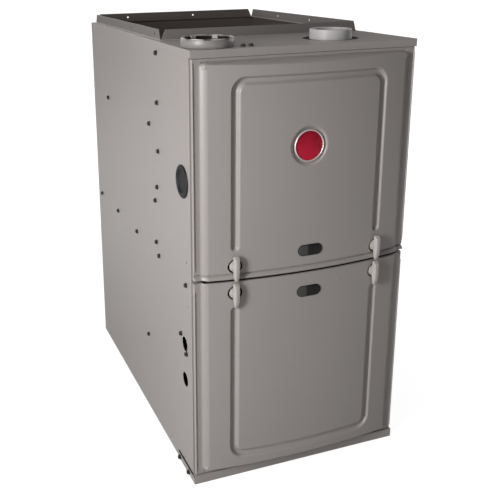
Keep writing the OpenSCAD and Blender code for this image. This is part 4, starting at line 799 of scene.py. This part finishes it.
# vent collar: its spigot through the top plate, its bulging barrel, and its socket and stop
barrel = [(47.3 - 0.030 * (z - 850.5) ** 2, z) for z in np.linspace(842.4, 857.2, 13)]
collar = lathe([(30.5, 807.0), (34.6, 807.0), (34.6, 842.2), *barrel, (44.8, 857.2), (44.8, 845.0),
                (27.2, 845.0), (27.2, 826.0), (30.5, 826.0), (30.5, 807.0)], VENT, "z", 192)
vent = make("vent_collar", *collar, "coupling_grey", "cabinet", sharp=50)
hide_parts("vent_coupling")
rim = lathe(rounded([(44.8, 856.9), (46.6, 856.9), (46.5, 858.8), (44.8, 858.8)], 0.7, 4),
            VENT, "z", 192, vent_wave)
make("vent_collar_rim", *rim, "latch_plastic", "cabinet", sharp=60)
lining = lathe(rounded([(44.9, 845.3), (44.9, 856.4), (42.6, 856.4), (42.6, 845.3)], 0.6, 3),
               VENT, "z", 128)
make("vent_collar_lining", *lining, "black_rubber", "cabinet", sharp=60)
tabs = []
for a in TAB_ANGLES:
    c, s = math.cos(math.radians(a)), math.sin(math.radians(a))
    v, f = block((40.4, -5.0, 852), (45.4, 5.0, 857.9))
    tabs.append(([(VENT[0] + x * c - y * s, VENT[1] + x * s + y * c, z) for x, y, z in v], f))
make("vent_collar_tabs", *join(tabs), "latch_plastic", "cabinet", smooth=False)

# intake sleeve: its bore narrows to a stop below the top plate
sleeve = make("intake_sleeve", *lathe(
    rounded([(30.4, 804.7), (30.4, 859.5), (39.5, 859.5), (39.5, 775.3), (30.4, 775.3),
             (30.4, 800.7), (27.9, 800.7), (27.9, 804.7)], 1.2, 4), INTAKE, "z", 128),
    "pipe_white", "cabinet", sharp=60)
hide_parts("intake_coupling")


# ------------------------------------------------------------------ painted shade strips

# a dark strip on the lower door's top edge, painted shade in the gap between the doors
SEAM_SHADE_X = 204.0
SEAM_SHADE_Z = (423.4, 425.6)
STATIONS = 69
verts, faces = [], []
for x in np.linspace(-SEAM_SHADE_X, SEAM_SHADE_X, STATIONS):
    verts += [(x, y, z) for y in (face_y(abs(x)) + 2.6, Y_FACE + 6.0) for z in SEAM_SHADE_Z]
last = 4 * (STATIONS - 1)
for k in range(0, last, 4):
    faces += [(k, k + 1, k + 5, k + 4), (k + 2, k + 6, k + 7, k + 3), (k + 1, k + 3, k + 7, k + 5),
              (k, k + 4, k + 6, k + 2)]
faces += [(0, 2, 3, 1), (last, last + 1, last + 3, last + 2)]
make("seam_shade_strip", verts, faces, "black_rubber", "lower_door", smooth=False)

# dark strips of painted shade between the side panels and the base rail's returns
SHADE_STRIP_X = (222.3, 222.75)
for side, hand in ((-1, "left"), (1, "right")):
    x = sorted(side * v for v in SHADE_STRIP_X)
    make(f"base_shade_strip_{hand}", *block((x[0], -355.5, 0.5), (x[1], -262.5, 17.2)), "black_rubber",
         "cabinet", smooth=False)


# ------------------------------------------------------------------ floor, lights and camera

FLOOR_X = 9.0                   # half width of the floor, in metres
FLOOR_Y = 6.0                   # half length of its flat part
COVE_R = 2.0                    # radius of its curve up to the backdrop
BACKDROP_Z = 6.0                # top of the backdrop
FLOOR_SINK = 0.0006             # how far the floor lies below the base
FLOOR_GLOW = 0.80               # share of the floor's brightness that is its own


def floor():
    """A pale floor with a backdrop, white to the camera and darker as a source of light."""
    mesh = bpy.data.meshes.new("floor")
    turn = [i / 24 * math.pi / 2 for i in range(25)]
    rows = [(-FLOOR_Y, 0.0)]
    rows += [(FLOOR_Y + COVE_R * math.sin(t), COVE_R - COVE_R * math.cos(t)) for t in turn]
    rows.append((FLOOR_Y + COVE_R, BACKDROP_Z))
    verts = [(x, y, z - FLOOR_SINK) for y, z in rows for x in (-FLOOR_X, FLOOR_X)]
    faces = [(k, k + 1, k + 3, k + 2) for k in range(0, len(verts) - 2, 2)]
    mesh.from_pydata(verts, [], faces)
    obj = bpy.data.objects.new("floor", mesh)
    bpy.context.scene.collection.objects.link(obj)
    m, tree, shader = material("floor_paper")
    place = add(tree, "ShaderNodeTexCoord").outputs["Object"]
    ray = add(tree, "ShaderNodeLightPath")
    length = add(tree, "ShaderNodeVectorMath", operation="LENGTH")
    tree.links.new(place, length.inputs[0])
    away = length.outputs["Value"]
    # painted shade: a mirrored floor shows less of its glow close to the object, standing in for
    # its contact shadow, and less far behind it
    mirrored = combined(tree, "MULTIPLY", spread(tree, away, 0.5, 0.12, start=3.0, end=6.0),
                        spread(tree, away, 0.2, 1.0, start=0.4, end=1.3))
    mirrored = combined(tree, "MULTIPLY", ray.outputs["Is Glossy Ray"], mirrored)
    seen = combined(tree, "MAXIMUM", ray.outputs["Is Camera Ray"], mirrored)
    paper = mixed(tree, spread(tree, noise(tree, place, 8.0), 0.0, 1.0), (0.80, 0.80, 0.80),
                  (0.83, 0.83, 0.83))
    paper = mixed(tree, seen, (0.42, 0.42, 0.42), paper)
    tree.links.new(paper, shader.inputs["Base Color"])
    shader.inputs["Roughness"].default_value = 0.9
    glow = add(tree, "ShaderNodeEmission")
    tree.links.new(spread(tree, away, 1.16, 1.36, start=0.4, end=1.3), glow.inputs["Strength"])
    blend = add(tree, "ShaderNodeMixShader")
    tree.links.new(combined(tree, "MULTIPLY", seen, FLOOR_GLOW), blend.inputs[0])
    tree.links.new(shader.outputs[0], blend.inputs[1])
    tree.links.new(glow.outputs[0], blend.inputs[2])
    tree.links.new(blend.outputs[0], tree.nodes["Material Output"].inputs["Surface"])
    mesh.materials.append(m)


# Place, aim, width and height in metres, and power in watts
LAMPS = {
    "key": ((-2.08, -1.30, 1.10), (0.0, -0.3, 0.5), (0.5, 1.2), 56),
    "fill": ((-0.6, -3.4, 1.2), (0.0, -0.2, 0.45), (1.6, 2.0), 8),
    "top": ((-0.5, 0.0, 3.2), (0.0, 0.0, 0.4), (2.0, 2.0), 12),
    "right": ((3.0, 0.8, 1.8), (0.1, 0.1, 0.45), (1.6, 2.0), 36),
    "back": ((-0.6, 3.2, 1.8), (0.0, 0.2, 0.45), (2.0, 1.6), 24),
}


def lamp(name, place, aim, size, power):
    light = bpy.data.lights.new(name, "AREA")
    light.shape = "RECTANGLE"
    light.size, light.size_y = size
    light.energy = power
    obj = bpy.data.objects.new(name, light)
    obj.location = place
    direction = Vector(aim) - Vector(place)
    obj.rotation_euler = direction.to_track_quat("-Z", "Y").to_euler()
    bpy.context.scene.collection.objects.link(obj)


AMBIENT = 0.085                 # strength of the world's light on the object


def surroundings():
    """A white world to the camera and through glass, and a dim one as a source of light."""
    world = bpy.data.worlds.new("studio")
    world.use_nodes = True
    bpy.context.scene.world = world
    tree = world.node_tree
    sky = tree.nodes["Background"]
    ray = add(tree, "ShaderNodeLightPath")
    direct = combined(tree, "MAXIMUM", ray.outputs["Is Camera Ray"],
                      ray.outputs["Is Transmission Ray"])
    tree.links.new(spread(tree, direct, AMBIENT, 1.0, start=0.0, end=1.0),
                   sky.inputs["Strength"])
    sky.inputs["Color"].default_value = (1.0, 1.0, 1.0, 1.0)


# The camera, fitted to the photograph's corners: place in metres, azimuth, elevation and roll in
# degrees, and focal length and optical centre in pixels of the square picture
CAMERA_AT = (-0.6610, -1.5491, 0.9815)
CAMERA_TURN = (-19.663, 16.033, -0.843)
FOCAL_PX = 761.76
CENTRE_PX = (185, 182)
PICTURE_PX = 500
SENSOR = 36.0


def view():
    """The camera at the photograph's viewing angle."""
    azimuth, elevation, roll = (math.radians(v) for v in CAMERA_TURN)
    back = Vector((math.sin(azimuth) * math.cos(elevation),
                   -math.cos(azimuth) * math.cos(elevation), math.sin(elevation)))
    right = (-back).cross(Vector((0, 0, 1))).normalized()
    up = right.cross(-back)
    right, up = (right * math.cos(roll) + up * math.sin(roll),
                 up * math.cos(roll) - right * math.sin(roll))
    data = bpy.data.cameras.new("camera")
    data.sensor_width = SENSOR
    data.lens = FOCAL_PX / PICTURE_PX * SENSOR
    data.shift_x = (PICTURE_PX / 2 - CENTRE_PX[0]) / PICTURE_PX
    data.shift_y = (CENTRE_PX[1] - PICTURE_PX / 2) / PICTURE_PX
    data.clip_start = 0.05
    camera = bpy.data.objects.new("camera", data)
    rows = [(right[i], up[i], back[i], CAMERA_AT[i]) for i in range(3)]
    camera.matrix_world = Matrix((*rows, (0, 0, 0, 1)))
    bpy.context.scene.collection.objects.link(camera)
    bpy.context.scene.camera = camera


floor()
for name, settings in LAMPS.items():
    lamp(name, *settings)
surroundings()
view()
bpy.context.scene.view_settings.view_transform = "Standard"
